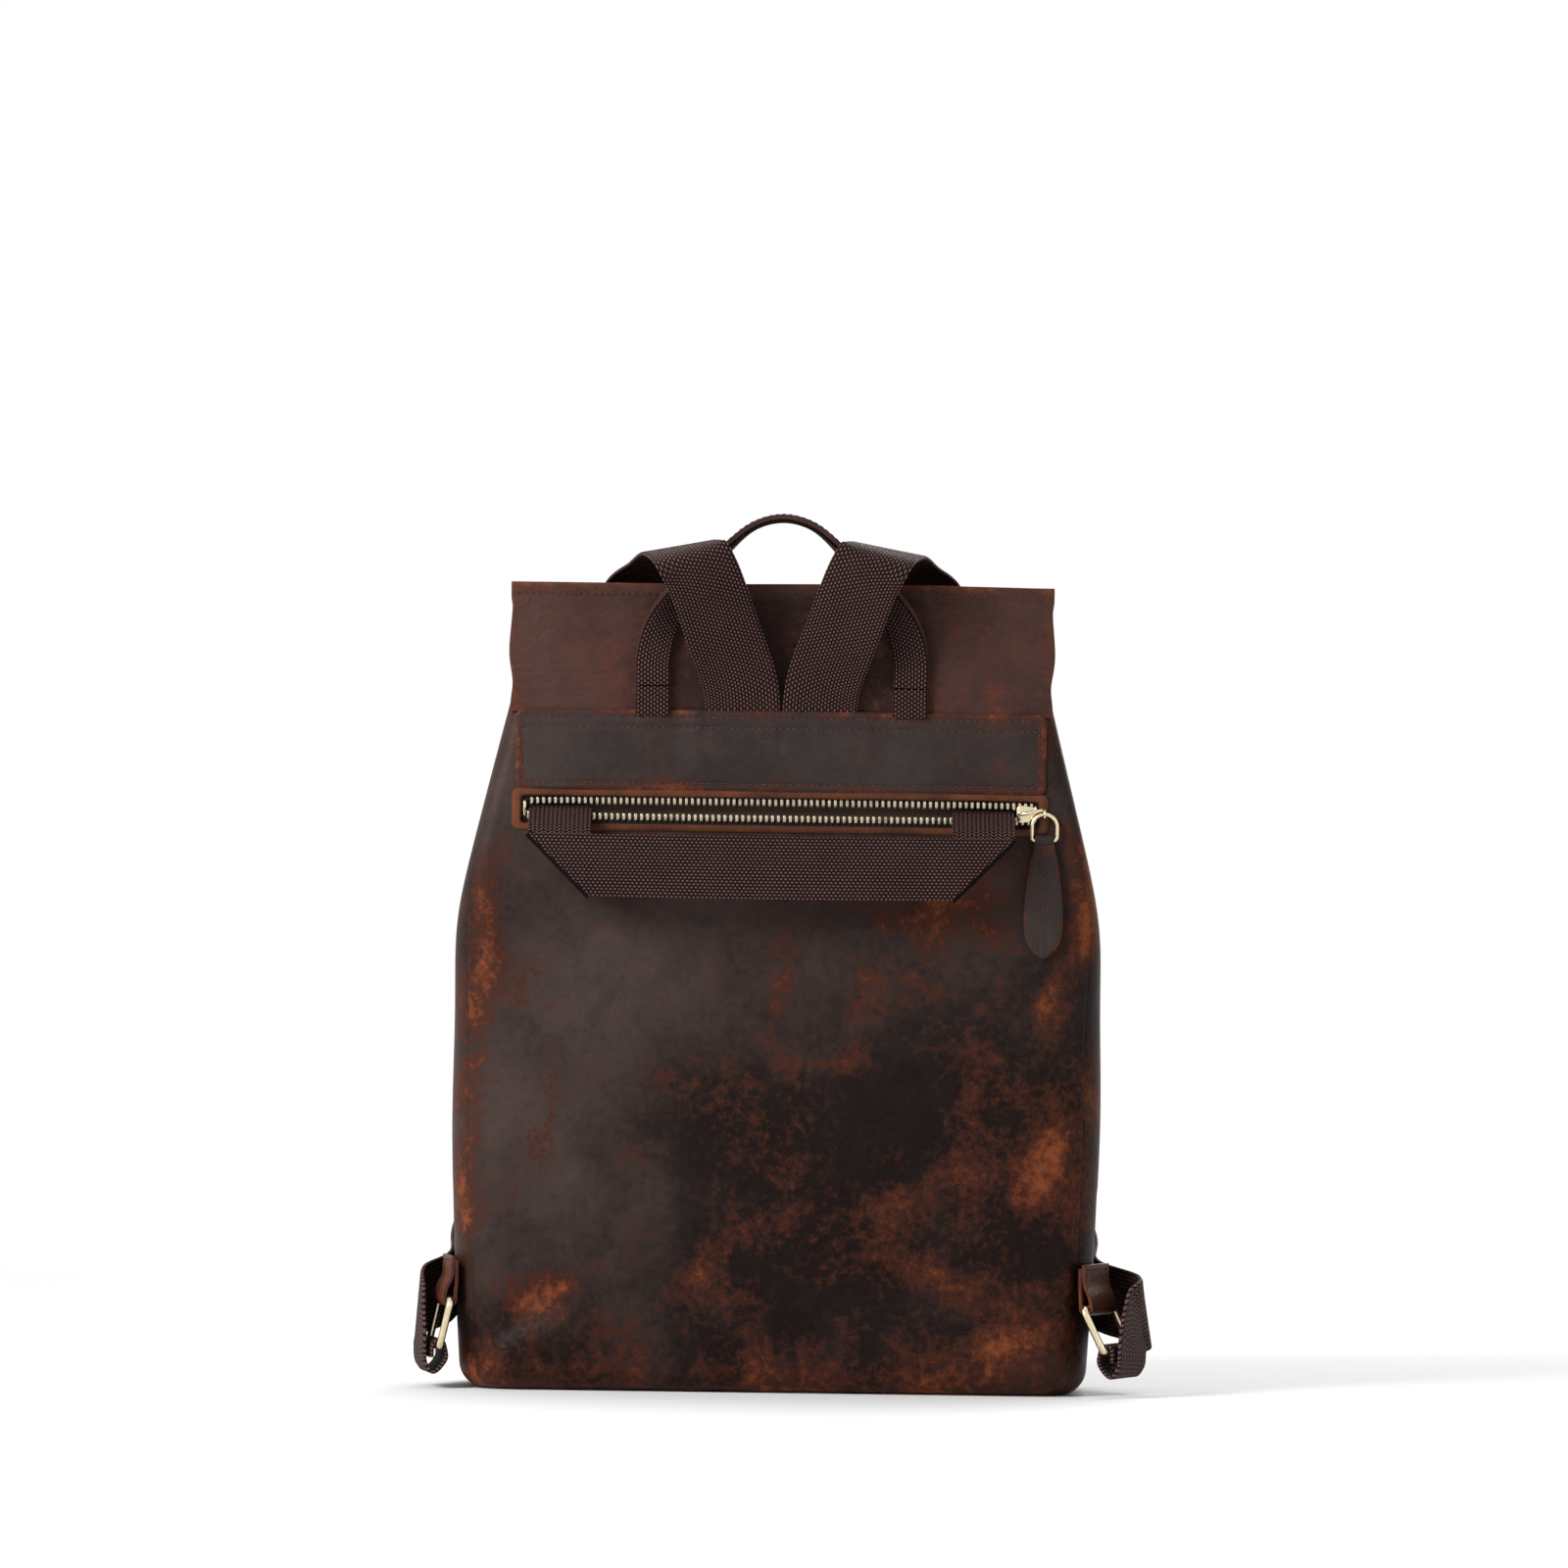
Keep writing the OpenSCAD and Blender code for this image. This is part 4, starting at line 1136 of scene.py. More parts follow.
def stitch_shape(g: Graph, size: Sock) -> Sock:
    """One stitch: a long grain."""
    grain = g.out("GeometryNodeMeshIcoSphere", 0, {}, {"Radius": 1.0, "Subdivisions": 2})
    return g.out("GeometryNodeTransform", 0, {}, {"Geometry": grain, "Scale": size})


def tooth_shape(g: Graph, size: Sock) -> Sock:
    """One zip tooth: a rounded block that is broader at its free end.

    Args:
        g: Graph to build in.
        size: Full length, depth and height.

    Returns:
        The geometry.
    """
    block = g.out("GeometryNodeMeshCube", 0, {}, {"Size": (1.0, 1.0, 1.0)})
    finer = g.out("GeometryNodeSubdivisionSurface", 0, {}, {"Mesh": block, "Level": 2, "Edge Crease": 0.62})
    return g.out("GeometryNodeTransform", 0, {}, {"Geometry": finer, "Scale": size})


class Rows:
    """Makes rows of small shapes along lines."""

    def __init__(self) -> None:
        """Makes both node groups."""
        self.stitch = RowTree("stitch_row", stitch_shape).make()
        self.tooth = RowTree("tooth_row", tooth_shape).make()

    @staticmethod
    def run(
        name: str, tree: bpy.types.NodeTree, lines: Sequence[Array],
        pitch: float, size: Vec3, paint: bpy.types.Material,
    ) -> bpy.types.Object:
        """Sets a group's shapes along lines and keeps the mesh.

        Args:
            name: Name of the object.
            tree: Node group.
            lines: Lines in millimetres.
            pitch: Distance between shapes in millimetres.
            size: Size of one shape in millimetres.
            paint: Material.

        Returns:
            The object.
        """
        points, edges = [], []
        for line in lines:
            first = len(points)
            points += (np.asarray(line) * MM).tolist()
            edges += [(first + k, first + k + 1) for k in range(len(line) - 1)]
        mesh = bpy.data.meshes.new(name + "_lines")
        mesh.from_pydata(points, edges, [])
        host = link(name + "_lines", mesh)
        modifier = host.modifiers.new("row", "NODES")
        modifier.node_group = tree
        values = {"Pitch": pitch * MM, "Size": tuple(s * MM for s in size), "Material": paint}
        for item in tree.interface.items_tree:
            if item.in_out == "INPUT" and item.name in values:
                modifier[item.identifier] = values[item.name]
        graph = bpy.context.evaluated_depsgraph_get()
        baked = bpy.data.meshes.new_from_object(host.evaluated_get(graph), depsgraph=graph)
        baked.name = name
        bpy.data.objects.remove(host)
        bpy.data.meshes.remove(mesh)
        if not baked.materials:
            baked.materials.append(paint)
        return link(name, baked)


def mark(piece: bpy.types.Object, name: str, rule: Callable[[Array, Array], Array]) -> None:
    """Stores a share on each vertex of a piece.

    Args:
        piece: The piece.
        name: Name of the attribute.
        rule: Shares from places across and heights, both in millimetres.
    """
    place = np.empty(len(piece.data.vertices) * 3, np.float32)
    piece.data.vertices.foreach_get("co", place)
    x, _, z = place.reshape(-1, 3).T / MM
    layer = piece.data.attributes.new(name, "FLOAT", "POINT")
    layer.data.foreach_set("value", np.clip(rule(x, z), 0, 1).astype(np.float32))


class Shop:
    """The frame, the materials and the calls that hand a piece over."""

    def __init__(self, frame: dict[str, Any]) -> None:
        """Makes all materials.

        Args:
            frame: The loaded frame.
        """
        self.frame = frame
        self.paints = {paint: paint.value.make() for paint in Paint}
        self.rows = Rows()

    def build(self, *paints: Paint) -> MeshBuild:
        """Starts a mesh."""
        return MeshBuild(*(self.paints[p] for p in paints))

    def stitches(
        self, name: str, body: str, lines: Sequence[Array],
        pitch: float = 3.3, size: Vec3 = (1.25, 0.42, 0.42),
    ) -> bpy.types.Object:
        """Sews rows of stitches on a body."""
        made = Rows.run(name, self.rows.stitch, lines, pitch, size, self.paints[Paint.THREAD])
        return self.ride(made, body, "trim_leather")

    @staticmethod
    def dress(obj: bpy.types.Object, slot: str, nodes: Sequence[str], bodies: str) -> None:
        """Gives a piece its slot and its frame nodes, and reports it.

        Args:
            obj: The piece.
            slot: Material slot of the record.
            nodes: Frame nodes that it stands for.
            bodies: Names of the bodies that it moves with.
        """
        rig.slot(obj, slot)
        if nodes:
            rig.replaces(obj, *nodes)
        LOG.info("%s rides on %s", obj.name, bodies)

    @staticmethod
    def ride(obj: bpy.types.Object, body: str, slot: str, *nodes: str) -> bpy.types.Object:
        """Hands over a piece that moves with one body, with its slot and the frame nodes it stands for."""
        Shop.dress(obj, slot, nodes, body)
        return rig.ride(obj, body)

    @staticmethod
    def bend(
        obj: bpy.types.Object, bodies: tuple[str, str], start: Vec3, end: Vec3, slot: str, *nodes: str
    ) -> bpy.types.Object:
        """Hands over a soft piece that bends between two bodies.

        Args:
            obj: The piece.
            bodies: Both bodies.
            start: Point in millimetres up to which it follows the first.
            end: Point in millimetres from which it follows the second.
            slot: Material slot of the record.
            nodes: Frame nodes that it stands for.

        Returns:
            The piece.
        """
        Shop.dress(obj, slot, nodes, " and ".join(bodies))
        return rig.blend(obj, *bodies, [s * MM for s in start], [e * MM for e in end])


# The body


class Side(Enum):
    """Sides of the body, anticlockwise from above."""

    BACK = "back"
    RIGHT = "right"
    FRONT = "front"
    LEFT = "left"


@dataclass(frozen=True)
class BodyForm:
    """Outer form of the body in millimetres.

    Attributes:
        belly_w: Width across the belly.
        base_w: Width at the base.
        mouth_w: Width of the mouth.
        base_d: Depth at the base.
        mouth_d: Depth at the mouth.
        seam_h: Height of the yoke seam.
        rim_h: Height of the mouth.
        belly_h: Height of the widest place.
        shoulder_h: Height where the taper starts.
        back_r: Radius of the back edges at the belly.
        yoke_r: Radius of the back edges at the yoke.
        front_r: Radius of the front edges.
        edge_r: Radius round the base.
        leather_t: Leather thickness.
        slot_half: Half of the slot's length.
        slot_low: Lower side of the slot.
        slot_top: Upper side of the slot.
    """

    belly_w: float = 314.0
    base_w: float = 302.0
    mouth_w: float = 247.0
    base_d: float = 120.0
    mouth_d: float = 104.0
    seam_h: float = 329.0
    rim_h: float = 362.0
    belly_h: float = 170.0
    shoulder_h: float = 226.0
    back_r: float = 28.0
    yoke_r: float = 9.0
    front_r: float = 34.0
    edge_r: float = 12.0
    leather_t: float = 2.0
    slot_half: float = 127.0
    slot_low: float = 273.5
    slot_top: float = 288.5

    @property
    def back_y(self) -> float:
        """Place of the back panel."""
        return -self.base_d / 2

    def half_w(self, z: float) -> float:
        """Half width at a height.

        Args:
            z: Height.

        Returns:
            Half width.
        """
        taper = (self.belly_w - self.mouth_w) / 2 / (self.rim_h - self.shoulder_h)
        low = (self.belly_w - self.base_w) / 2 * (1 - min(z, self.belly_h) / self.belly_h) ** 2
        return self.belly_w / 2 - low - taper * 10 * math.log(1 + math.exp((z - self.shoulder_h) / 10))

    def front_y(self, z: Any) -> Any:
        """Place of the front panel at a height."""
        return self.base_d / 2 - (self.base_d - self.mouth_d) * (z / self.rim_h) ** 2

    def edge_rad(self, z: float, back: bool) -> float:
        """Radius of the upright edges at a height.

        Args:
            z: Height.
            back: Whether it is an edge at the back.

        Returns:
            The radius.
        """
        first, last = (self.back_r, self.yoke_r) if back else (self.front_r, self.front_r - 10)
        end = self.seam_h - 56 if back else self.rim_h
        return mix(first, last, float(ease((z - self.belly_h) / (end - self.belly_h))))

    def corner(self, z: float, inset: float, back: bool, sign: int, a0: float, a1: float, n: int) -> Array:
        """Part of a corner's arc at a height.

        Args:
            z: Height.
            inset: Distance inside the outer form.
            back: Whether it is a corner at the back.
            sign: 1 on the right, -1 on the left.
            a0: First angle.
            a1: Last angle.
            n: Steps.

        Returns:
            Points in the plane.
        """
        r = max(1.5, self.edge_rad(z, back) - inset)
        x = sign * (self.half_w(z) - inset - r)
        y = self.back_y + inset + r if back else self.front_y(z) - inset - r
        return arc(x, y, r, a0, a1, n)

    def line(self, side: Side, z: float, inset: float = 0.0) -> Array:
        """Outline of one side at a height, with the same number of points at every height.

        Args:
            side: Side of the body.
            z: Height.
            inset: Distance inside the outer form.

        Returns:
            Points in the plane.
        """
        corners = {
            Side.BACK: ((True, -1, 225), (True, 1, 270)),
            Side.RIGHT: ((True, 1, 315), (False, 1, 0)),
            Side.FRONT: ((False, 1, 45), (False, -1, 90)),
            Side.LEFT: ((False, -1, 135), (True, -1, 180)),
        }
        first, last = (self.corner(z, inset, back, sign, a, a + 45, 9) for back, sign, a in corners[side])
        if side is Side.BACK:
            far = last[0, 0]
            near = min(self.slot_half, far - 3.0)
            end = np.linspace(near, far, 3)[:-1]
            xs = np.concatenate([-end[::-1], np.linspace(-near, near, 85)[1:-1], end])
            flat = np.stack([xs, np.full_like(xs, last[0, 1])], -1)
        else:
            steps = 72 if side is Side.FRONT else 20
            flat = mix(first[-1:], last[:1], np.linspace(0, 1, steps + 1)[1:-1, None])
        return np.concatenate([first, flat, last])

    def round(self, z: float, inset: float, back_inset: float) -> Array:
        """Whole outline at a height.

        Args:
            z: Height.
            inset: Distance inside the outer form.
            back_inset: The same at the back.

        Returns:
            Points in the plane, anticlockwise from the left.
        """
        shift = np.array([0.0, back_inset - inset])
        places = ((True, -1, 180), (True, 1, 270), (False, 1, 0), (False, -1, 90))
        corners = [self.corner(z, inset, back, sign, a, a + 90, 8) + shift * back for back, sign, a in places]
        parts = []
        for k, steps in enumerate((40, 12, 40, 12)):
            a, b = corners[k], corners[(k + 1) % 4]
            parts += [a, mix(a[-1:], b[:1], np.linspace(0, 1, steps + 1)[1:-1, None])]
        return np.concatenate(parts)


@dataclass(frozen=True)
class Fold:
    """A soft dent or ridge on a panel.

    Attributes:
        x: Middle across the panel.
        z: Middle height.
        angle: Direction of its length in degrees from level.
        length: Half length.
        width: Half width.
        depth: How far it stands out, or in where negative.
    """

    x: float
    z: float
    angle: float
    length: float
    width: float
    depth: float

    def at(self, x: Array, z: Array) -> Array:
        """Offset at places of the panel.

        Args:
            x: Places across.
            z: Heights.

        Returns:
            Offsets outwards.
        """
        c, s = math.cos(math.radians(self.angle)), math.sin(math.radians(self.angle))
        u, v = (x - self.x) * c + (z - self.z) * s, (z - self.z) * c - (x - self.x) * s
        return self.depth * bell(u, self.length) * bell(v, self.width)


BACK_FOLDS = (
    Fold(-132, 219, -48, 24, 7, -2.2),
    Fold(-143, 232, -55, 26, 7, 1.0),
    Fold(-112, 22, 28, 34, 9, 1.8),
    Fold(-128, 34, 35, 26, 7, -1.6),
    Fold(120, 30, -30, 34, 10, 1.4),
    Fold(134, 150, 82, 40, 9, -1.5),
    Fold(118, 120, 76, 44, 11, 1.2),
    Fold(-70, 120, 12, 60, 22, -0.9),
    Fold(48, 92, -16, 62, 20, 0.9),
    Fold(20, 178, 6, 70, 12, -0.7),
    Fold(-120, 130, 70, 45, 14, 0.9),
)
BACK_RUBS = (
    Fold(-139, 222, 95, 24, 7, 0.5),
    Fold(-145, 192, 80, 17, 7, 0.6),
    Fold(-110, 47, 24, 20, 12, 0.85),
    Fold(-37, 60, 40, 22, 9, 0.78),
    Fold(131, 190, 75, 19, 8, 0.65),
    Fold(128, 110, 70, 22, 11, 0.85),
    Fold(150, 231, 100, 16, 6, 0.7),
    Fold(39, 162, 10, 13, 9, 0.6),
    Fold(2, 193, 80, 20, 5, 0.45),
    Fold(112, 26, 12, 30, 9, 0.5),
    Fold(-60, 150, 30, 12, 6, 0.4),
    Fold(70, 60, -20, 22, 9, 0.5),
    Fold(-150, 90, 88, 34, 5, 0.3),
)


@dataclass
class BagBody:
    """Back, front, side and base panels of leather.

    Attributes:
        shop: Frame and materials.
        form: Outer form.
        back_top: Height of the back panel, under the yoke.
        edges: Lines beside both seams of each wall.
    """

    shop: Shop
    form: BodyForm
    back_top: float = 327.0
    edges: dict[Side, tuple[Array, Array]] = field(default_factory=dict)

    def heights(self, top: float, cuts: Sequence[float] = ()) -> Array:
        """Heights of a panel's rows above the base edge.

        Args:
            top: Height of the panel.
            cuts: Heights that must be rows.

        Returns:
            The heights.
        """
        marks = [self.form.edge_r, *cuts, top]
        parts = [np.linspace(a, b, max(2, round((b - a) / 3.4)) + 1)[:-1] for a, b in zip(marks, marks[1:])]
        return np.concatenate([*parts, [top]])

    def swell(self, side: Side, p: Array, rim: Array, top: float) -> Array:
        """How far the leather stands out of the plain form.

        Args:
            side: Side of the body.
            p: Grid of plain points.
            rim: Distance of each point from the side's seams.
            top: Height of the panel.

        Returns:
            Offsets outwards.
        """
        x, y, z = p[..., 0], p[..., 1], p[..., 2]
        wave = 0.5 * np.sin(x / 29 + z / 43) + 0.4 * np.sin(z / 21 - x / 51 + y / 33)
        wave = wave + 0.25 * np.sin(x / 13 + z / 17)
        middle = np.clip(1 - (x / 135) ** 2, 0, 1)
        if side is Side.BACK:
            soft = 2.6 * np.sin(np.clip((z - 10) / 190, 0, 1) * math.pi) * middle
            soft += wave * 0.8 + np.maximum(1.5 * sum(fold.at(x, z) for fold in BACK_FOLDS), -1.7)
            hold = ease((248 - z) / 26) * (1 - bell(np.hypot((x - 127.5) / 18, (z - 240) / 42), 1.0))
        elif side is Side.FRONT:
            soft = wave * 0.9 + 2.0 * np.sin(np.clip((z - 10) / 170, 0, 1) * math.pi) * middle
            soft += Fold(-92, 60, 60, 40, 12, -1.6).at(x, z) + Fold(84, 88, -58, 44, 12, -1.4).at(x, z)
            hold = ease((150 - z) / 30)
        else:
            dip = bell(y + 2, 24) * ease((z - 120) / 110) * ease((top - z) / 30)
            soft = wave * 0.5 - 2.6 * dip - 1.2 * bell(y - 10, 22) * bell(z - 110, 34)
            hold = np.where(z < 100, ease((np.abs(y + 22) - 22) / 14), 1.0)
        groove = 0.7 if side is Side.FRONT else 0.12
        return soft * hold * ease(rim / 22) * ease((z - 2) / 26) - groove * bell(rim, 1.6)

    def wear(self, side: Side, p: Array, rim: Array) -> Array:
        """How rubbed the leather is.

        Args:
            side: Side of the body.
            p: Grid of points.
            rim: Distance of each point from the side's seams.

        Returns:
            Wear between 0 and about 1.
        """
        x, z = p[..., 0], p[..., 2]
        rub = 0.18 * bell(rim, 15) + 0.3 * bell(z, 16)
        if side is Side.BACK:
            rub = rub + sum(blotch.at(x, z) for blotch in BACK_RUBS)
        else:
            rub = rub + 0.5 * np.clip(np.sin(x / 33 + z / 26) * np.sin(z / 41 - p[..., 1] / 25), 0, 1)
        return np.clip(rub, 0, 1.1)

    @staticmethod
    def dark(x: Array, z: Array) -> Array:
        """Painted shade of a wall, more towards the right and the foot, where less light falls."""
        return ease((x + 100) / 150) * (0.3 + 0.7 * ease((205 - z) / 110)) + 0.4 * ease((60 - z) / 50)

    def panel(self, side: Side, top: float, node: str, cuts: Sequence[float] = ()) -> bpy.types.Object:
        """Makes one wall.

        Args:
            side: Side of the body.
            top: Height of the panel.
            node: Frame node that it stands for.
            cuts: Heights that must be rows.

        Returns:
            The piece.
        """
        form = self.form
        rows = []
        for a in np.radians([0, 12, 24, 36, 48, 60, 70, 80]):
            z = form.edge_r * (1 - math.cos(a))
            rows.append(xyz(*form.line(side, z, form.edge_r * (1 - math.sin(a))).T, z))
        rows += [xyz(*form.line(side, z).T, z) for z in self.heights(top, cuts)]
        grid = np.array(rows)
        run = np.linalg.norm(np.diff(grid, axis=1, prepend=grid[:, :1]), axis=-1).cumsum(axis=1)
        rim = np.minimum(run, run[:, -1:] - run)
        grid = grid + grid_normals(grid) * self.swell(side, grid, rim, top)[..., None]
        rub = self.wear(side, grid, rim)
        keep = None
        if side is Side.BACK:
            middle = (grid[:-1, :-1] + grid[1:, 1:]) / 2
            inside = (np.abs(middle[..., 0]) < form.slot_half) & (middle[..., 2] > form.slot_low)
            keep = ~(inside & (middle[..., 2] < form.slot_top))
        build = self.shop.build(Paint.BODY, Paint.FLESH, Paint.RAW)
        build.sheet(grid, form.leather_t, (0, 1, 2), keep, rub)
        inset = int(np.argmin(np.abs(run[len(run) // 2] - 5.0)))
        self.edges[side] = grid[9:, inset], grid[9:, -1 - inset]
        piece = build.object(node + "_skin", 0.3)
        # painted shade: the walls are painted darker towards the right and the foot
        mark(piece, "painted_shade", self.dark)
        return self.shop.ride(piece, "bag", "body_leather", node)

    def make(self) -> None:
        """Makes all panels, their seams and the base."""
        form = self.form
        cuts = (form.slot_low, form.slot_top)
        self.panel(Side.BACK, self.back_top, "back_panel", cuts)
        self.panel(Side.RIGHT, form.rim_h, "side_gusset_right")
        self.panel(Side.FRONT, form.rim_h, "front_panel")
        self.panel(Side.LEFT, form.rim_h, "side_gusset_left")
        self.shop.stitches("body_seam_stitches", "bag", self.edges[Side.FRONT], 3.8, (1.4, 0.42, 0.42))
        self.base()

    def base(self) -> None:
        """Makes the base panel with its sewn rim."""
        form = self.form
        ring = form.round(0.0, form.edge_r, form.edge_r)
        ring = np.concatenate([ring, ring[:1]])
        grid = np.array([xyz(*ring.T * s, h) for s, h in ((0.02, 1.2), (0.5, 0.9), (0.93, 0.5), (1, 0.1))])
        build = self.shop.build(Paint.BODY, Paint.FLESH, Paint.RAW)
        build.sheet(grid, form.leather_t, (0, 1, 2), None, np.full(grid.shape[:2], 0.35))
        self.shop.ride(build.object("base_skin"), "bag", "body_leather", "base_panel")


@dataclass
class YokeBand:
    """Leather band over the strap ends, sewn round its edge.

    Attributes:
        shop: Frame and materials.
        form: Form of the body.
        width: Width of the band.
        low: Lower side.
        top: Upper side.
        corner: Corner radius.
        second_row: Height of the second row of stitches.
    """

    shop: Shop
    form: BodyForm
    width: float = 256.0
    low: float = 290.0
    top: float = 329.0
    corner: float = 4.0
    second_row: float = 320.5

    def half(self, z: Array) -> Array:
        """Half width at a height, less in the rounded corners."""
        return rounded(self.width / 2, self.corner, np.minimum(z - self.low, self.top - z))

    def lift(self, x: Array, z: Array) -> Array:
        """Height of its face over the back panel.

        Args:
            x: Places across.
            z: Heights.

        Returns:
            Heights.
        """
        edge = np.minimum(np.minimum(z - self.low, self.top - z), self.half(z) - np.abs(x))
        over = ease((52.0 - np.abs(x)) / 15.0) * ease((z - 292) / 16)
        foot = bell(np.abs(x) - 62, 10) * ease((z - 316) / 10)
        h = 1.9 + 2.3 * over + 1.3 * foot + 0.2 * np.sin(x / 17 + z / 9)
        h = h - 0.35 * (bell(x, 2.2) + bell(np.abs(x) - 37, 2.4)) * ease((z - 300) / 12)
        second = bell(z - self.second_row, 0.9) * (np.abs(x) < self.width / 2 - 4)
        channel = bell(edge - 3.6, 0.9) + second
        return np.clip(h - 0.45 * channel - 0.9 * bell(edge, 1.0), 0.7, 4.4)

    def make(self) -> None:
        """Makes the band and its stitches."""
        zs = np.linspace(self.low, self.top, 60)
        share = np.linspace(-1, 1, 241)
        z = np.repeat(zs[:, None], len(share), 1)
        x = share[None] * self.half(z)
        grid = xyz(x, self.form.back_y - self.lift(x, z), z)
        inner = xyz(x, self.form.back_y - 0.05, z)
        edge = np.minimum(np.minimum(z - self.low, self.top - z), self.half(z) - np.abs(x))
        rub = 0.62 * bell(edge, 3.9) + 0.2 * bell(np.abs(x) - 128, 12)
        build = self.shop.build(Paint.TRIM, Paint.FLESH, Paint.EDGE)
        build.sheet(grid, 1.0, (0, 1, 2), None, rub, inner)
        self.shop.ride(build.object("yoke_skin", 0.25), "bag", "trim_leather", "yoke_band")
        half = self.width / 2
        ring = evenly(rounded_box(-half + 3.6, half - 3.6, self.low + 3.6, self.top - 3.6, 3.0), 1.2)
        second = np.linspace(-half + 5, half - 5, 220), np.full(220, self.second_row)
        lines = [xyz(x, self.form.back_y - self.lift(x, z) - 0.1, z) for x, z in (ring.T, second)]
        self.shop.stitches("yoke_stitches", "bag", lines)


@dataclass
class ZipPocket:
    """Raw slot frame, tapes, teeth, stops and the pouch behind.

    Attributes:
        shop: Frame and materials.
        form: Form of the body.
        zip_z: Height of the zip.
        half: Half length of the zip.
        pitch: Pitch of the teeth.
        teeth_y: Middle of the teeth.
        pouch_half: Half width of the pouch.
        pouch_low: Height of the pouch's foot.
        pouch_top: Height of the pouch's top.
    """

    shop: Shop
    form: BodyForm
    zip_z: float = ZIP_Z
    half: float = 126.0
    pitch: float = 2.87
    teeth_y: float = -57.75
    pouch_half: float = 131.0
    pouch_low: float = 148.5
    pouch_top: float = 297.5

    def gap(self, x: Array) -> Array:
        """Half of the gap between the tooth rows."""
        return 1.5 + 0.7 * (1 - np.abs(x / self.half) ** 4)

    def make(self) -> None:
        """Makes all pieces of the pocket."""
        self.frame_edge()
        self.tapes()
        self.teeth()
        self.pouch()

    def frame_edge(self) -> None:
        """The rolled raw edge round the slot."""
        form, back = self.form, self.form.back_y
        outer = (form.slot_half + 2.0, form.slot_low - 2.6, form.slot_top + 1.8)
        inner = (form.slot_half - 1.8, form.slot_low - 0.3, form.slot_top - 1.1)
        section = ((0.0, -0.1), (0.12, -0.55), (0.5, -0.8), (0.86, -0.7), (1.0, -0.2), (1.0, 1.2))
        rings = []
        for share, depth in section:
            half, low, top = mix(np.array(outer), np.array(inner), share)
            ring = rounded_box(-half, half, low, top, mix(3.4, 2.2, share), 5)
            rings.append(xyz(ring[:, 0], back + depth, ring[:, 1]))
        corners = np.array(rings)
        steps = np.linspace(0, 1, 41)[:-1]
        cols = []
        for k in range(corners.shape[1] - 1):
            a, b = corners[:, k], corners[:, k + 1]
            long = np.linalg.norm(b[0] - a[0]) > 20
            cols += [mix(a, b, t) for t in (steps if long else (0.0,))]
        cols.append(corners[:, -1])
        grid = np.stack(cols, 1)
        grid[..., 1] -= 0.12 * np.sin(grid[..., 0] / 7) * (np.array([d for _, d in section])[:, None] < -0.3)
        build = self.shop.build(Paint.RAW)
        build.sheet(grid[::-1], 0.5)
        self.shop.ride(build.object("slot_raw_edge"), "bag", "body_leather")

    def tapes(self) -> None:
        """The two woven tapes with their beaded edges."""
        xs = np.linspace(-self.half, self.half, 121)
        for sign, node in ((1, "zip_tape_upper"), (-1, "zip_tape_lower")):
            inner = self.zip_z + sign * (self.gap(xs) + 1.9)
            outer = np.full_like(xs, self.zip_z + sign * 15.0)
            shares = np.linspace(0, 1, 9)
            y = -57.95 - 0.35 * bell(shares * 13, 1.6)
            grid = xyz(xs, y[:, None], mix(inner, outer, shares[:, None]))
            build = self.shop.build(Paint.TAPE)
            build.sheet(grid if sign > 0 else grid[::-1], 0.6)
            self.shop.ride(build.object(node + "_weave"), "bag", "zip_tape", node)

    def teeth(self) -> None:
        """Both tooth rows and the end stops."""
        reach = int((self.half - 5) / self.pitch) * self.pitch
        for sign, node in ((1, "zip_teeth_upper"), (-1, "zip_teeth_lower")):
            xs = np.linspace(-reach, reach, 241) + sign * 0.25 * self.pitch
            z = self.zip_z + sign * (self.gap(xs) + 1.9)
            lines = [xyz(xs, self.teeth_y, z)]
            brass = self.shop.paints[Paint.TEETH]
            row = Rows.run(node + "_row", self.shop.rows.tooth, lines, self.pitch, (1.5, 3.0, 4.2), brass)
            self.shop.ride(row, "bag", "brass", node)
        build = self.shop.build(Paint.BRASS)
        for s in (-1, 1):
            path = xyz(s * (self.half - 2.6), self.teeth_y + 0.05, self.zip_z + np.linspace(-4.0, 4.0, 9))
            build.tube(path, np.array([0.5, 1.0, 1.25, 1.3, 1.3, 1.3, 1.25, 1.0, 0.5]))
        self.shop.ride(build.object("zip_stop_clips"), "bag", "brass", "zip_end_stops")

    def pouch(self) -> None:
        """The cloth pouch behind the panel."""
        half, low, top = self.pouch_half, self.pouch_low, self.pouch_top
        xs = np.linspace(-half, half, 60)
        build = self.shop.build(Paint.LINING)
        x, z = np.meshgrid(xs, np.linspace(low, top, 40))
        belly = ease((half - np.abs(x)) / 8) * np.clip((z - low) / 14, 0, 1) * np.clip((top - z) / 8, 0, 1)
        y = -57.2 + 5.6 * np.minimum(belly, 1.0) + 0.25 * np.sin(x / 15) * belly
        build.sheet(xyz(x, y, z)[:, ::-1], 0.5)
        x, z = np.meshgrid(xs, np.linspace(low, self.zip_z - 16, 30))
        build.sheet(xyz(x, self.teeth_y, z)[:, ::-1], -0.4)
        piece = self.shop.ride(build.object("pocket_pouch"), "bag", "lining", "zip_pocket_pouch")
        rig.sheet(piece, (0.262, 0.2655), "hung", ["zip_tape_upper", "zip_tape_lower"])


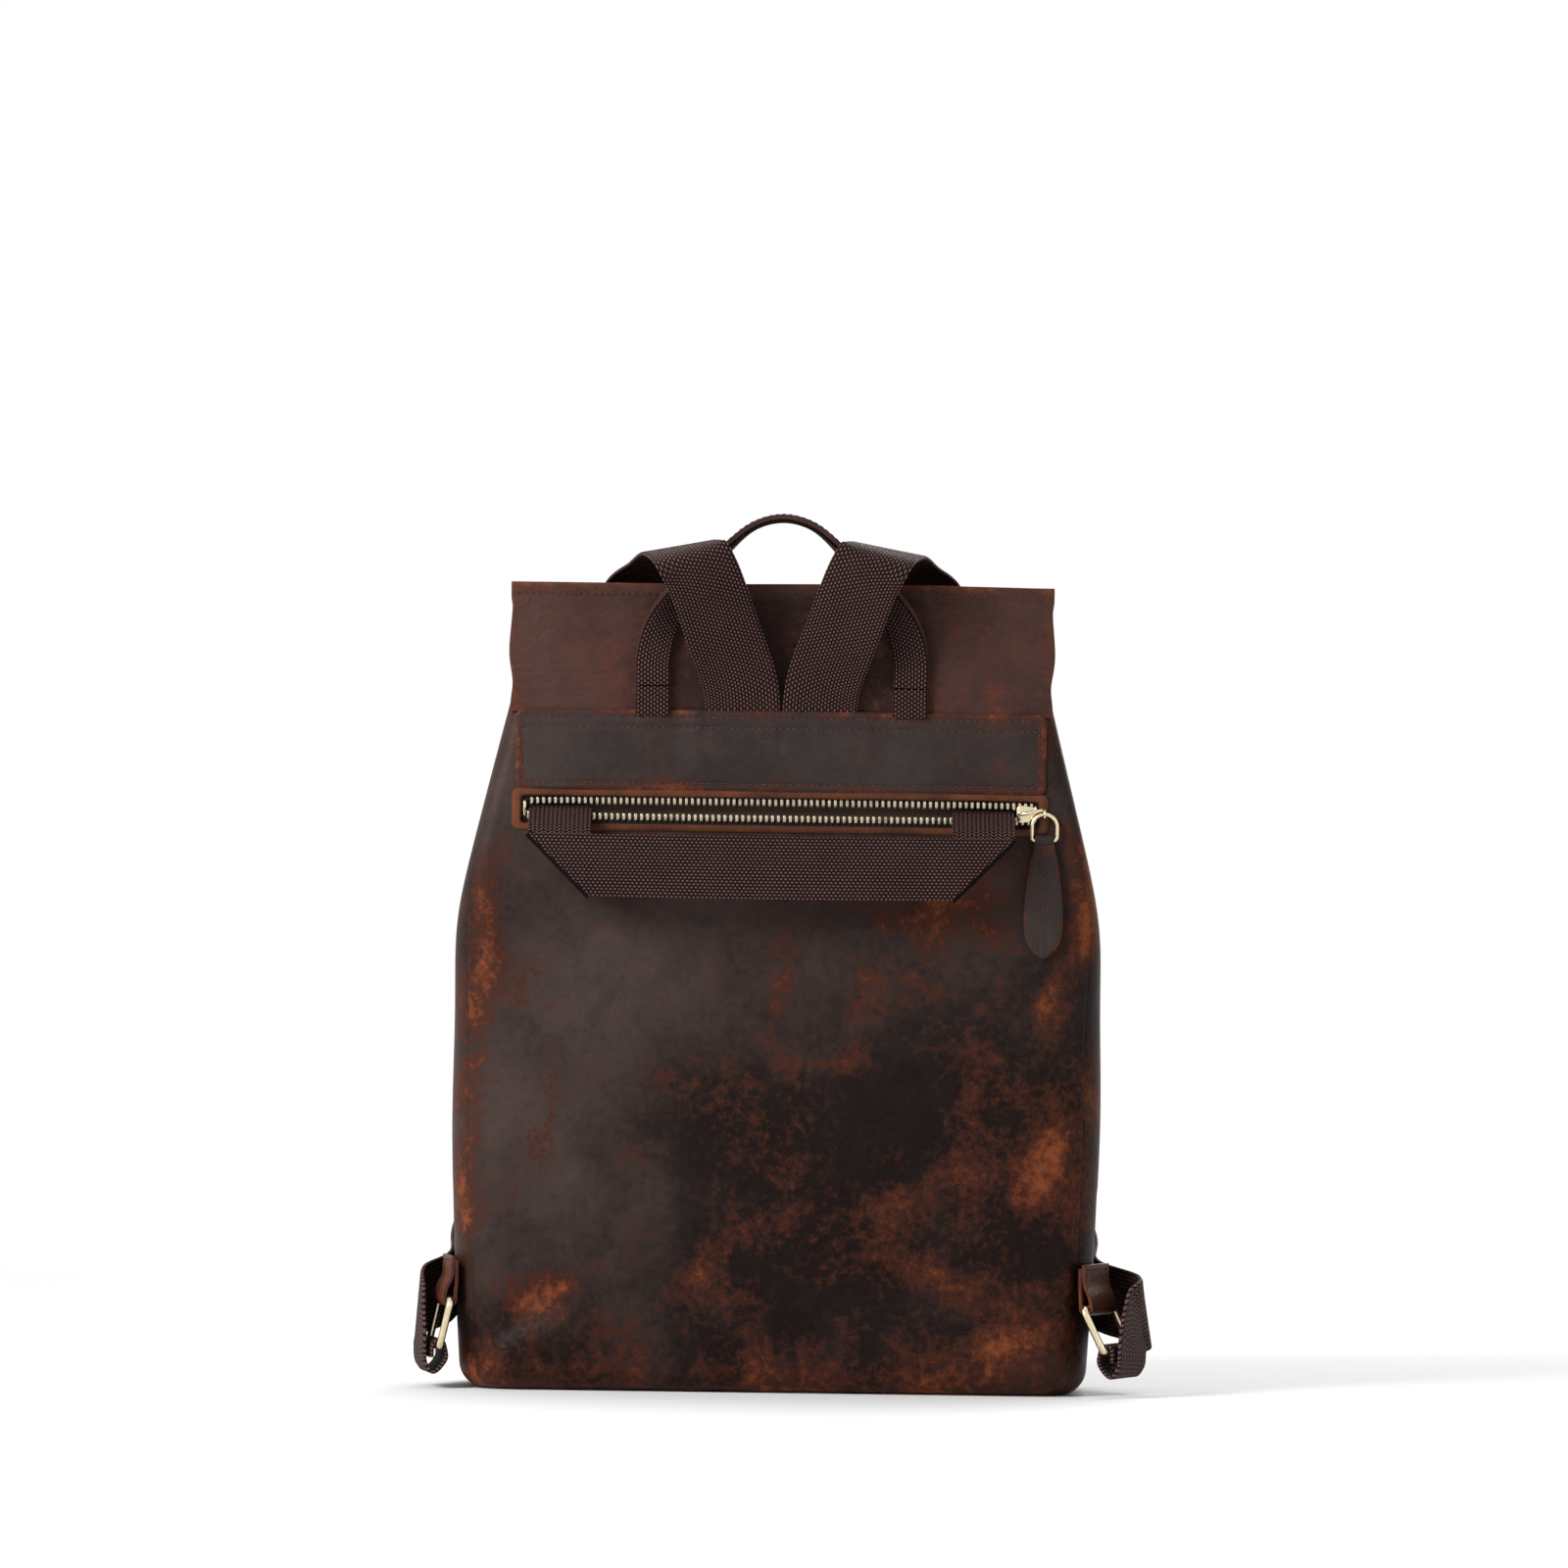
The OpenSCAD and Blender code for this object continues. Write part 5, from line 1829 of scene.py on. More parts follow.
@dataclass
class ZipPuller:
    """Slider, wire ring and leather tab of the zip.

    Attributes:
        shop: Frame and materials.
        x: Middle of the slider.
        z: Height of the zip.
        eye: Middle of the eye.
        bar_z: Height of the ring's lower bar.
    """

    shop: Shop
    x: float = 118.7
    z: float = ZIP_Z
    eye: Vec3 = (127.5, -63.1, ZIP_Z)
    bar_z: float = 268.5

    def make(self) -> None:
        """Makes all three pieces."""
        self.slider()
        self.ring()
        self.tab()

    def slider(self) -> None:
        """The cast slider: two plates, a neck and a bridge to the eye."""
        build = self.shop.build(Paint.BRASS)
        a = np.linspace(0, 2 * math.pi, 48, endpoint=False)
        u, v = (np.sign(wave) * np.abs(wave) ** 0.5 for wave in (np.cos(a), np.sin(a)))
        waist = 1 - 0.2 * ease((u + 1) / 2)
        for y0, y1 in ((-61.25, -59.5), (-55.85, -54.75)):
            edges = ((y0, -0.7), (y0 + 0.35, 0.0), (y1 - 0.3, 0.0), (y1, -0.5))
            rings = [xyz(self.x + u * (4.6 + g), y, self.z + v * (4.2 + g) * waist) for y, g in edges]
            build.loft(np.array(rings), False)
        build.tube(xyz(self.x + 2.6, np.linspace(-60.2, -55.2, 6), self.z), 0.95)
        z = self.z
        rise = [(115.6, -61.0, z), (116.4, -62.6, z), (119, -63.7, z + 0.4)]
        bridge = spline([*rise, (123, -63.6, z + 1.4), (126.4, -63.3, z + 2)], 6)
        build.tube(bridge, np.linspace(1.05, 0.8, len(bridge)))
        a = np.linspace(0, 2 * math.pi, 30, endpoint=False)
        loop = xyz(self.eye[0], self.eye[1] + 2.0 * np.cos(a), self.eye[2] + 2.0 * np.sin(a))
        build.tube(loop, 0.68, True, 12)
        self.shop.ride(build.object("slider_cast"), "slider", "brass", "zip_slider")

    def ring(self) -> None:
        """The wire ring: an arch, two legs and a lower bar."""
        ex, ey, ez = self.eye
        top = arc(0, -6.0, 6.0, 0, 180, 22)
        low_left = arc(-6 + 1.6, self.bar_z - ez + 1.6, 1.6, 180, 270, 6)
        low_right = arc(6 - 1.6, self.bar_z - ez + 1.6, 1.6, 270, 360, 6)
        flat = np.concatenate([top, mix(top[-1:], low_left[:1], 0.5), low_left, low_right])
        path = xyz(ex + flat[:, 0], ey, ez + flat[:, 1])
        path = evenly(np.vstack([path, path[:1]]), 0.7)[:-1]
        build = self.shop.build(Paint.BRASS)
        build.tube(path, 0.98, True, 16)
        self.shop.ride(build.object("pull_ring_wire"), "pull_ring", "brass", "zip_pull_ring")

    def tab(self) -> None:
        """The leather tab, doubled over the ring's bar and sewn."""
        ex, ey, _ = self.eye
        build = self.shop.build(Paint.TRIM, Paint.RAW)
        tip = 13.0 * np.sin(np.linspace(0, math.pi / 2, 22))[1:]
        zs = np.concatenate([np.linspace(-2.2, -44, 40), -44 - tip])
        drops = (0, 4, 10, 18, 30, 40, 46, 51, 55, 57)
        outline = np.interp(-zs, drops, (4.6, 4.9, 6.6, 7.9, 9.1, 9.5, 9.1, 7.2, 3.9, 0.5))
        outline = np.convolve(np.pad(outline, 3, mode="edge"), np.ones(7) / 7, "valid")
        outline[-1] = 0.6
        share = np.linspace(-1, 1, 23)
        z = np.repeat(zs[:, None], len(share), 1)
        x = share[None] * outline[:, None]
        near = outline[:, None] - np.abs(x)
        near = np.minimum(near, (zs - zs[-1])[:, None])
        flat_y = ey + 0.3 - 0.35 * (x / 9.0) ** 2
        face = 1.85 - 0.5 * bell(near, 1.0) - 0.3 * bell(np.abs(x) - 1.7, 0.6)
        for sign in (-1, 1):
            grid = xyz(ex + x, flat_y + sign * face, self.bar_z + z)
            inner = xyz(ex + x, flat_y + sign * 0.04, self.bar_z + z)
            build.sheet(grid[::sign], 1.6, (0, 1, 1), None, 0.55 * bell(near, 1.2), inner[::sign])
        a = np.linspace(0, 2 * math.pi, 40, endpoint=False)
        section = np.array([[-4.6, -0.65], [4.6, -0.65], [4.6, 0.65], [-4.6, 0.65]])
        loop = xyz(ex, ey + 1.8 * np.cos(a), self.bar_z + 1.8 * np.sin(a))
        build.sweep(loop, np.tile([1.0, 0, 0], (40, 1)), section, lambda k: 1 if k in (1, 3) else 0, True)
        self.shop.ride(build.object("pull_tab_leather", 0.15), "pull_tab", "trim_leather", "zip_pull_tab")
        zs = np.linspace(self.bar_z - 6, self.bar_z - 39, 40)
        rows = [xyz(ex + side, ey - 1.45, zs) for side in (-1.7, 1.7)]
        self.shop.stitches("pull_tab_stitches", "pull_tab", rows, 2.6, (1.05, 0.4, 0.4))


@dataclass
class TrolleyStrap:
    """Webbing that comes out of the zip, folds and runs across the back.

    Attributes:
        shop: Frame and materials.
        ends: Outer edges of the two legs.
        width: Webbing width.
        thick: Webbing thickness.
        zip_z: Height of the zip.
        drop: From the zip to the band.
        leg_y: Place of the legs where they hang.
    """

    shop: Shop
    ends: tuple[float, float] = (-121.0, 113.0)
    width: float = 30.0
    thick: float = 2.0
    zip_z: float = ZIP_Z
    drop: float = 12.0
    leg_y: float = -83.0

    def make(self) -> None:
        """Makes the strap and its sewn ends."""
        self.strap()
        self.sewn_ends()

    def strap(self) -> None:
        """Legs, folds and band as one soft piece that tucks into the pocket when the zip closes."""
        build = self.shop.build(Paint.BAND, Paint.STRAP)
        top, low = self.zip_z - self.drop, self.zip_z - self.drop - self.width
        y0, y1 = -61.4, self.leg_y
        d = self.drop
        ys = (y0, mix(y0, y1, 0.4), mix(y0, y1, 0.75), y1 + 1.6, y1 + 0.3, y1, y1)
        drops = (0, d * 0.3, d * 0.62, d * 0.95, d * 1.25, d * 1.6, self.zip_z - low)
        flat = evenly(spline(np.column_stack([ys, self.zip_z - np.array(drops)]), 8), 1.6)
        run = along(flat)
        for s, edge in zip((-1, 1), self.ends):
            outer = edge - s * np.clip(top - flat[:, 1:], 0, self.width - 0.6)
            x = mix(outer, edge - s * self.width, np.linspace(0, 1, 15))
            grid = xyz(x, flat[:, :1], flat[:, 1:])[::-1, ::-s]
            build.sheet(grid - np.array([0, self.thick / 2, 0]), self.thick)
            uv = np.stack(np.broadcast_arrays(run[::-1][:, None], grid[..., 0]), -1).reshape(-1, 2)
            build.maps[-2] = build.maps[-1] = uv
        self.band(build, top, low)
        piece = build.object("trolley_webbing", 0.35)
        self.shop.ride(piece, "trolley", "webbing", "trolley_strap")
        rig.squash(piece, "zip_slide", (0.0, -1.0, 0.0), (0.0, -0.0535, 0.281), 0.02)

    def band(self, build: MeshBuild, top: float, low: float) -> None:
        """The band across the back, with folds at 45 degrees.

        Args:
            build: Mesh to add to.
            top: Upper edge.
            low: Lower edge.
        """
        middle, half = sum(self.ends) / 2, (self.ends[1] - self.ends[0]) / 2
        zs = np.linspace(low, top, 17)
        share = np.linspace(-1, 1, 101)
        z = np.repeat(zs[:, None], len(share), 1)
        reach = half - (top - z)
        x = middle + share[None] * reach
        sway = 0.8 * np.cos(share * math.pi / 2)[None] + 0.25 * np.sin(x / 19)
        crown = 0.3 * (1 - ((z - (top + low) / 2) / 15) ** 2)
        y = self.leg_y - 1.85 * self.thick / 2 - 1.05 - sway * 0.6 - crown
        grid = xyz(x, y, z - 0.5 * np.cos(share * math.pi / 2))
        build.sheet(grid, 1.7, (1, 1, 1))
        uv = np.stack([x, z], -1).reshape(-1, 2)
        build.maps[-2] = build.maps[-1] = uv
        for s in (-1, 1):
            t = np.linspace(0, 1, 26)
            line = xyz(middle + s * (half - self.width * t), self.leg_y - 0.95, mix(top, low, t))
            build.tube(line, 1.85, False, 14, 1)

    def sewn_ends(self) -> None:
        """The ends inside the pocket."""
        build = self.shop.build(Paint.BAND)
        z = self.zip_z
        path = spline([(-59.9, z), (-55.6, z), (-53.4, z - 2), (-52.9, z - 5), (-52.9, z - 39.5)], 6)
        for s, edge in zip((-1, 1), self.ends):
            line = xyz(edge - s * self.width / 2, *path.T)
            build.sweep(line, np.tile([1.0, 0, 0], (len(path), 1)), flat_profile(self.width, 1.9))
        piece = self.shop.ride(build.object("trolley_sewn_ends"), "bag", "webbing", "trolley_strap_ends")
        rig.squash(piece, "zip_slide", (0.0, -1.0, 0.0), (0.0, -0.0525, 0.281), 0.08)


@dataclass
class Flap:
    """Riser and cover of the flap, pinched together along the top.

    Attributes:
        shop: Frame and materials.
        form: Form of the body.
        width: Width of the flap.
        top: Height of the pinched seam.
        low: Height of the lower front edge.
        corner: Radius of the lower corners.
        gap: Gap to the front panel.
        pinch: Depth of the pinched seam.
        drop: Drop of the lid.
        fold: Radius of the fold at the front.
    """

    shop: Shop
    form: BodyForm
    width: float = 262.0
    top: float = 390.0
    low: float = 195.0
    corner: float = 26.0
    gap: float = 2.4
    pinch: float = 7.0
    drop: float = 9.0
    fold: float = 14.0

    def cover_y(self, z: Any) -> Any:
        """Middle of the cover's leather in front."""
        return self.form.front_y(z) + self.gap + self.form.leather_t / 2

    @property
    def lid_z(self) -> float:
        """Height of the lid at the back."""
        return self.top - self.pinch

    @property
    def fold_z(self) -> float:
        """Height of the middle of the fold."""
        return self.lid_z - self.drop - self.fold

    @property
    def fold_y(self) -> float:
        """Middle of the fold from back to front."""
        return float(self.cover_y(self.fold_z)) - self.fold

    def make(self) -> None:
        """Makes the flap."""
        self.riser()
        self.cover()

    def riser_y(self, x: Array, z: Array) -> Array:
        """Outer face of the riser.

        Args:
            x: Places across.
            z: Heights.

        Returns:
            Coordinates.
        """
        crease = 0.3 * np.sin(z / 2.9 + 1.2 * np.sin(x / 23) + x / 61) + 0.25 * np.sin(z / 1.7 + x / 37)
        slack = 0.5 * np.sin(x / 41 + z / 19)
        fine = 0.13 * np.sin(z / 0.66 + 1.7 * np.sin(x / 21 + z / 37) + x / 33)
        fine = fine * (0.55 + 0.45 * np.sin(x / 27 + z / 11))
        hold = ease((z - 333) / 8) * ease((self.top - 8 - z) / 8)
        hold = hold * (1 - 0.97 * bell(np.abs(x) - 57, 17))
        groove = 0.4 * bell(z - (self.top - 7), 1.6)
        return self.form.back_y - (crease * 0.55 + slack * 0.7 + fine) * hold + groove

    def riser(self) -> None:
        """The creased leather between the yoke and the pinched seam."""
        zs = np.concatenate([np.linspace(327.3, 345, 14)[:-1], np.linspace(345, self.top, 92)])
        share = np.linspace(-1, 1, 161)
        z = np.repeat(zs[:, None], len(share), 1)
        side = 0.8 * np.sin(z / 9.0) * ease((z - 335) / 12) - 1.3 * bell(z - 343, 9)
        x = share[None] * (self.width / 2 + side)
        z = z + 0.7 * np.sin(x / 47 + 0.6) * ease((z - 375) / 12)
        grid = xyz(x, self.riser_y(x, z), z)
        rub = 0.5 * bell(self.top - z, 3.0) + 0.35 * bell(self.width / 2 - np.abs(x), 8)
        rub = rub + 0.2 * bell(np.abs(x) - 100, 30)
        build = self.shop.build(Paint.FLAP, Paint.FLESH, Paint.RAW)
        build.sheet(grid, 1.9, (0, 1, 2), None, rub)
        piece = build.object("riser_skin", 0.3)
        # painted shadow of the straps and handle over the middle of the riser, up to its top
        mark(piece, "painted_shade", lambda x, z: ease((84 - np.abs(x)) / 40) * ease((388 - z) / 8))
        self.shop.bend(piece, ("bag", "flap"), (0, -59, 327.5), (0, -59, 338.5), "flap_leather", "flap_riser")
        xs = np.linspace(-self.width / 2 + 3, self.width / 2 - 3, 200)
        seam = self.top - 4.6
        line = xyz(xs, self.riser_y(xs, seam) - 0.05, seam + 0.7 * np.sin(xs / 47 + 0.6))
        self.shop.stitches("riser_stitches", "flap", [line])

    def path(self) -> Array:
        """Outline of the cover from its pinched edge to its lower edge, in the middle of the leather.

        Returns:
            Points as depth and height.
        """
        y0 = self.form.back_y + self.form.leather_t * 1.5
        start = [(y0, self.top), (y0, self.lid_z + 3), (y0 + 0.9, self.lid_z + 0.9), (y0 + 3, self.lid_z)]
        bend = arc(self.fold_y, self.fold_z, self.fold, 80, 0, 10)
        lid = mix(np.array(start[-1:]), bend[:1], np.linspace(0, 1, 12)[1:-1, None])
        zs = np.linspace(self.fold_z, self.low, 26)[1:]
        front = np.column_stack([self.cover_y(zs), zs])
        return np.concatenate([np.array(start), lid, bend, front])

    def cover(self) -> None:
        """The lid and the front of the flap."""
        path = evenly(self.path(), 2.6)
        run = along(path)
        lower = np.where(path[:, 0] > 30, path[:, 1] - self.low, self.corner)
        half = rounded(self.width / 2, self.corner, lower)
        share = np.linspace(-1, 1, 121)
        grid = xyz(share * half[:, None], path[:, :1], path[:, 1:])[::-1]
        normals = grid_normals(grid[:, ::-1])[:, ::-1]
        s = run[::-1][:, None]
        lid = bell(s - 52, 26)
        wave = 0.5 * np.sin(grid[..., 0] / 37 + s / 29) + 0.35 * np.sin(grid[..., 0] / 19 - s / 23)
        quiet = 1 - ease((60 - np.abs(grid[..., 0])) / 20) * ease((s - 170) / 40)
        offset = (wave * 0.7 * quiet - 1.4 * lid * (1 - share[None] ** 2)) * ease(s / 16)
        grid = grid + normals * (offset + 1.0)[..., None]
        edge = np.minimum(half[::-1][:, None] - np.abs(grid[..., 0]), (run[-1] - s))
        rub = 0.45 * bell(edge, 5) + 0.5 * bell(s - 108, 12)
        rub = rub + 0.35 * np.clip(np.sin(grid[..., 0] / 27 + s / 31), 0, 1) ** 2
        build = self.shop.build(Paint.FLAP, Paint.FLESH, Paint.RAW)
        build.sheet(grid[:, ::-1], 1.9, (0, 1, 2), None, rub[:, ::-1])
        self.shop.ride(build.object("cover_skin", 0.3), "flap", "flap_leather", "flap_cover")
        inset = 5.0
        pick = [k for k in range(2, len(grid)) if run[::-1][k] > 12]
        left = np.array([grid[k, np.argmin(np.abs(grid[k, :, 0] + half[::-1][k] - inset))] for k in pick])
        right = left * np.array([-1, 1, 1])
        low = grid[2][np.abs(grid[2, :, 0]) < np.abs(left[0, 0])]
        loop = np.concatenate([left[::-1], low, right]) + np.array([0, 0.05, 0.05])
        self.shop.stitches("cover_stitches", "flap", [loop], 3.6, (1.35, 0.42, 0.42))


@dataclass
class Closure:
    """Patch, rivets, lifting strap and snap on the front.

    Attributes:
        shop: Frame and materials.
        flap: The flap that carries it.
        width: Width of the strap.
        length: Length of the strap.
        thick: Thickness of the strap.
    """

    shop: Shop
    flap: Flap
    width: float = 40.0
    length: float = 66.0
    thick: float = 3.0

    def skin(self, z: Any) -> Any:
        """Face of the flap under the closure."""
        return self.flap.cover_y(z) + self.flap.form.leather_t / 2 + 0.1

    def make(self) -> None:
        """Makes the closure."""
        flap = self.flap
        z0, z1 = flap.low + 18, flap.low + 54
        zs = np.linspace(z0, z1, 30)
        half = self.width / 2 + 3
        near = np.minimum(zs - z0, z1 - zs)
        limit = rounded(half, 5.0, near)
        x = np.linspace(1, -1, 41) * limit[:, None]
        z = np.repeat(zs[:, None], 41, 1)
        edge = np.minimum(near[:, None], limit[:, None] - np.abs(x))
        y = self.skin(z) + 2.0 - 0.5 * bell(edge, 1.0) - 0.35 * bell(edge - 3.2, 0.8)
        build = self.shop.build(Paint.TRIM, Paint.FLESH, Paint.RAW)
        build.sheet(xyz(x, y, z), 1.9, (0, 1, 2), None, 0.5 * bell(edge, 1.5), xyz(x, self.skin(z), z))
        self.shop.ride(build.object("closure_patch_skin", 0.2), "flap", "trim_leather", "closure_patch")
        ring = evenly(rounded_box(-half + 3.2, half - 3.2, z0 + 3.2, z1 - 3.2, 3.0), 1.0)
        line = xyz(ring[:, 0], self.skin(ring[:, 1]) + 1.7, ring[:, 1])
        self.shop.stitches("closure_patch_stitches", "flap", [line], 3.2)
        middle = (z0 + z1) / 2
        build = self.shop.build(Paint.BRASS)
        dome = [(3.5, 0.0), (3.5, 0.35), (3.3, 0.8), (2.7, 1.15), (1.6, 1.35), (0.01, 1.42)]
        for s in (-1, 1):
            build.lathe(s * self.width * 0.32, float(self.skin(middle)) + 2.05, middle, dome)
        self.shop.ride(build.object("closure_rivet_domes"), "flap", "brass", "closure_rivets")
        self.strap(z0, max(float(self.skin(flap.low)), float(self.skin(z0))) + 0.8 + self.thick / 2)

    def strap(self, patch_low: float, y: float) -> None:
        """The strap that lifts, with its snap.

        Args:
            patch_low: Lower side of the patch.
            y: Middle of the strap.
        """
        top = patch_low - self.thick / 2 - 0.4
        snap = top - self.length + self.width / 2
        half = self.width / 2
        tip = snap - half * np.sin(np.linspace(0, math.pi / 2, 20))[1:]
        zs = np.concatenate([np.linspace(top, snap, 30), tip])
        limit = np.where(zs > snap, half, np.sqrt(np.maximum(half**2 - (snap - zs) ** 2, 0.3)))
        z = np.repeat(zs[:, None], 37, 1)[::-1]
        x = (np.linspace(1, -1, 37) * limit[:, None])[::-1]
        radial = np.where(z > snap, half - np.abs(x), half - np.hypot(x, z - snap))
        face = self.thick / 2 - 0.5 * bell(radial, 0.9) - 0.35 * bell(radial - 3.4, 0.8)
        outer, inner = (xyz(x, y + sign * face, z) for sign in (1, -1))
        build = self.shop.build(Paint.TRIM, Paint.TRIM, Paint.RAW)
        build.sheet(outer, self.thick, (0, 1, 2), None, 0.5 * bell(radial, 1.5), inner)
        build.tube(xyz(np.linspace(-half, half, 30), y, top), self.thick / 2, False, 18)
        self.shop.ride(build.object("closure_strap_skin", 0.2), "closure", "trim_leather", "closure_strap")
        bend = arc(0, snap, half - 3.4, 180, 360, 30)
        ring = evenly(np.concatenate([[[-half + 3.4, top - 2]], bend, [[half - 3.4, top - 2]]]), 1.0)
        line = xyz(ring[:, 0], y + self.thick / 2 - 0.2, ring[:, 1])
        self.shop.stitches("closure_strap_stitches", "closure", [line], 3.2)
        build = self.shop.build(Paint.BRASS)
        cap = [(9, 0), (9, 0.4), (8.6, 0.95), (7.4, 1.25), (6.4, 1.3), (6, 1.05), (3, 1.15), (0.01, 1.3)]
        build.lathe(0, y + self.thick / 2, snap, cap)
        build.lathe(0, y - self.thick / 2 - 0.1, snap, [(2, 0), (2, self.thick + 0.2)])
        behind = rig.box("snap_cap")[0][1] / MM
        deep = y - self.thick / 2 - behind
        build.lathe(0, behind, snap, [(5.4, 0), (6, 0.25), (6, deep - 0.2), (5.6, deep)])
        self.shop.ride(build.object("snap_cap_turned"), "closure", "brass", "snap_cap")
        low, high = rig.box("snap_socket")
        depth = (high[1] - low[1]) / MM
        build = self.shop.build(Paint.BRASS)
        cup = [(7, 0), (7, 0.5), (6.4, 1), (4.6, 1), (4.2, 0.6), (0.01, 0.6)]
        build.lathe(0, low[1] / MM, snap, [(r, depth * h) for r, h in cup])
        self.shop.ride(build.object("snap_socket_turned"), "bag", "brass", "snap_socket")


@dataclass
class TopHandle:
    """Leather handle backed with webbing, level at its crest.

    Attributes:
        shop: Frame and materials.
        span: Distance between the middles of its ends.
        foot_y: Place of its ends.
        foot_z: Height of its ends.
        crest_z: Height of the crest.
        out: How far the crest stands out.
        width: Width of the strap.
        leather: Thickness of the leather.
        webbing: Thickness of the webbing.
    """

    shop: Shop
    span: float = 124.0
    foot_y: float = -62.55
    foot_z: float = 341.0
    crest_z: float = 421.6
    out: float = 12.0
    width: float = 17.0
    leather: float = 2.4
    webbing: float = 1.4

    STEPS = (
        (1, 0, 0, 0), (1, 0.08, 0.16, 4), (0.95, 0.33, 0.34, 24), (0.81, 0.67, 0.53, 48),
        (0.64, 0.92, 0.665, 68), (0.46, 1, 0.805, 84), (0.24, 1, 0.95, 90), (0, 1, 1, 90),
    )

    def course(self) -> tuple[Array, Array]:
        """Points and width directions of the handle.

        Returns:
            Both, from left to right.
        """
        steps = np.array(self.STEPS, float)
        rise = (self.crest_z - self.foot_z) * steps[:, 2]
        half = xyz(-self.span / 2 * steps[:, 0], self.foot_y - self.out * steps[:, 1], self.foot_z + rise)
        last = len(half) - 1
        dirs = []
        for k, turn in enumerate(np.radians(steps[:, 3])):
            t = unit(half[min(last, k + 1)] - half[max(0, k - 1)])
            dirs.append(np.array([t[2], 0, -t[0]]) * math.cos(turn) + np.array([0, math.sin(turn), 0]))
        mirror = np.array([-1.0, 1.0, 1.0])
        path, widths = (np.concatenate([v, v[-2::-1] * mirror]) for v in (half, np.array(dirs)))
        return spline(path, 9), spline(widths, 9)

    def make(self) -> None:
        """Makes the handle, its webbing and its soft ends."""
        path, widths = self.course()
        total = self.leather + self.webbing
        raw = (7, 8, 9, 17, 18, 19)
        joint = (self.leather - self.webbing) / 2
        face = cut_profile(self.width, -total / 2, joint, 7)
        back = flat_profile(self.width - 1.0, self.webbing) + np.array([0.0, joint + 0.15 + self.webbing / 2])
        build = self.shop.build(Paint.TAB, Paint.EDGE)
        build.sweep(path, widths, face, lambda k: 1 if k in raw else 0, rub=0.25)
        self.shop.ride(build.object("handle_leather"), "handle", "trim_leather", "top_handle")
        build = self.shop.build(Paint.STRAP)
        build.sweep(path, widths, back)
        self.shop.ride(build.object("handle_web"), "handle", "webbing", "handle_webbing")
        tangent = tangents(path)
        out = unit(np.cross(widths, tangent))
        side = np.cross(tangent, out)
        lines = [(path + side * s * (self.width / 2 - 2.4) - out * (total / 2))[3:-3] for s in (-1, 1)]
        self.shop.stitches("handle_stitches", "handle", lines, 3.2, (1.15, 0.36, 0.36))
        build = self.shop.build(Paint.TAB, Paint.STRAP, Paint.EDGE)
        for s in (-1, 1):
            zs = np.linspace(326.5, self.foot_z - 0.75, 12)
            foot = xyz(s * self.span / 2, self.foot_y, zs)
            wide = np.tile([1.0, 0, 0], (12, 1))
            build.sweep(foot, wide, face, lambda k: 2 if k in raw else 0)
            build.sweep(foot, wide, back, 1)
        piece = build.object("handle_feet")
        self.shop.bend(piece, ("bag", "flap"), (0, -60, 329), (0, -60, 340), "trim_leather", "handle_ends")


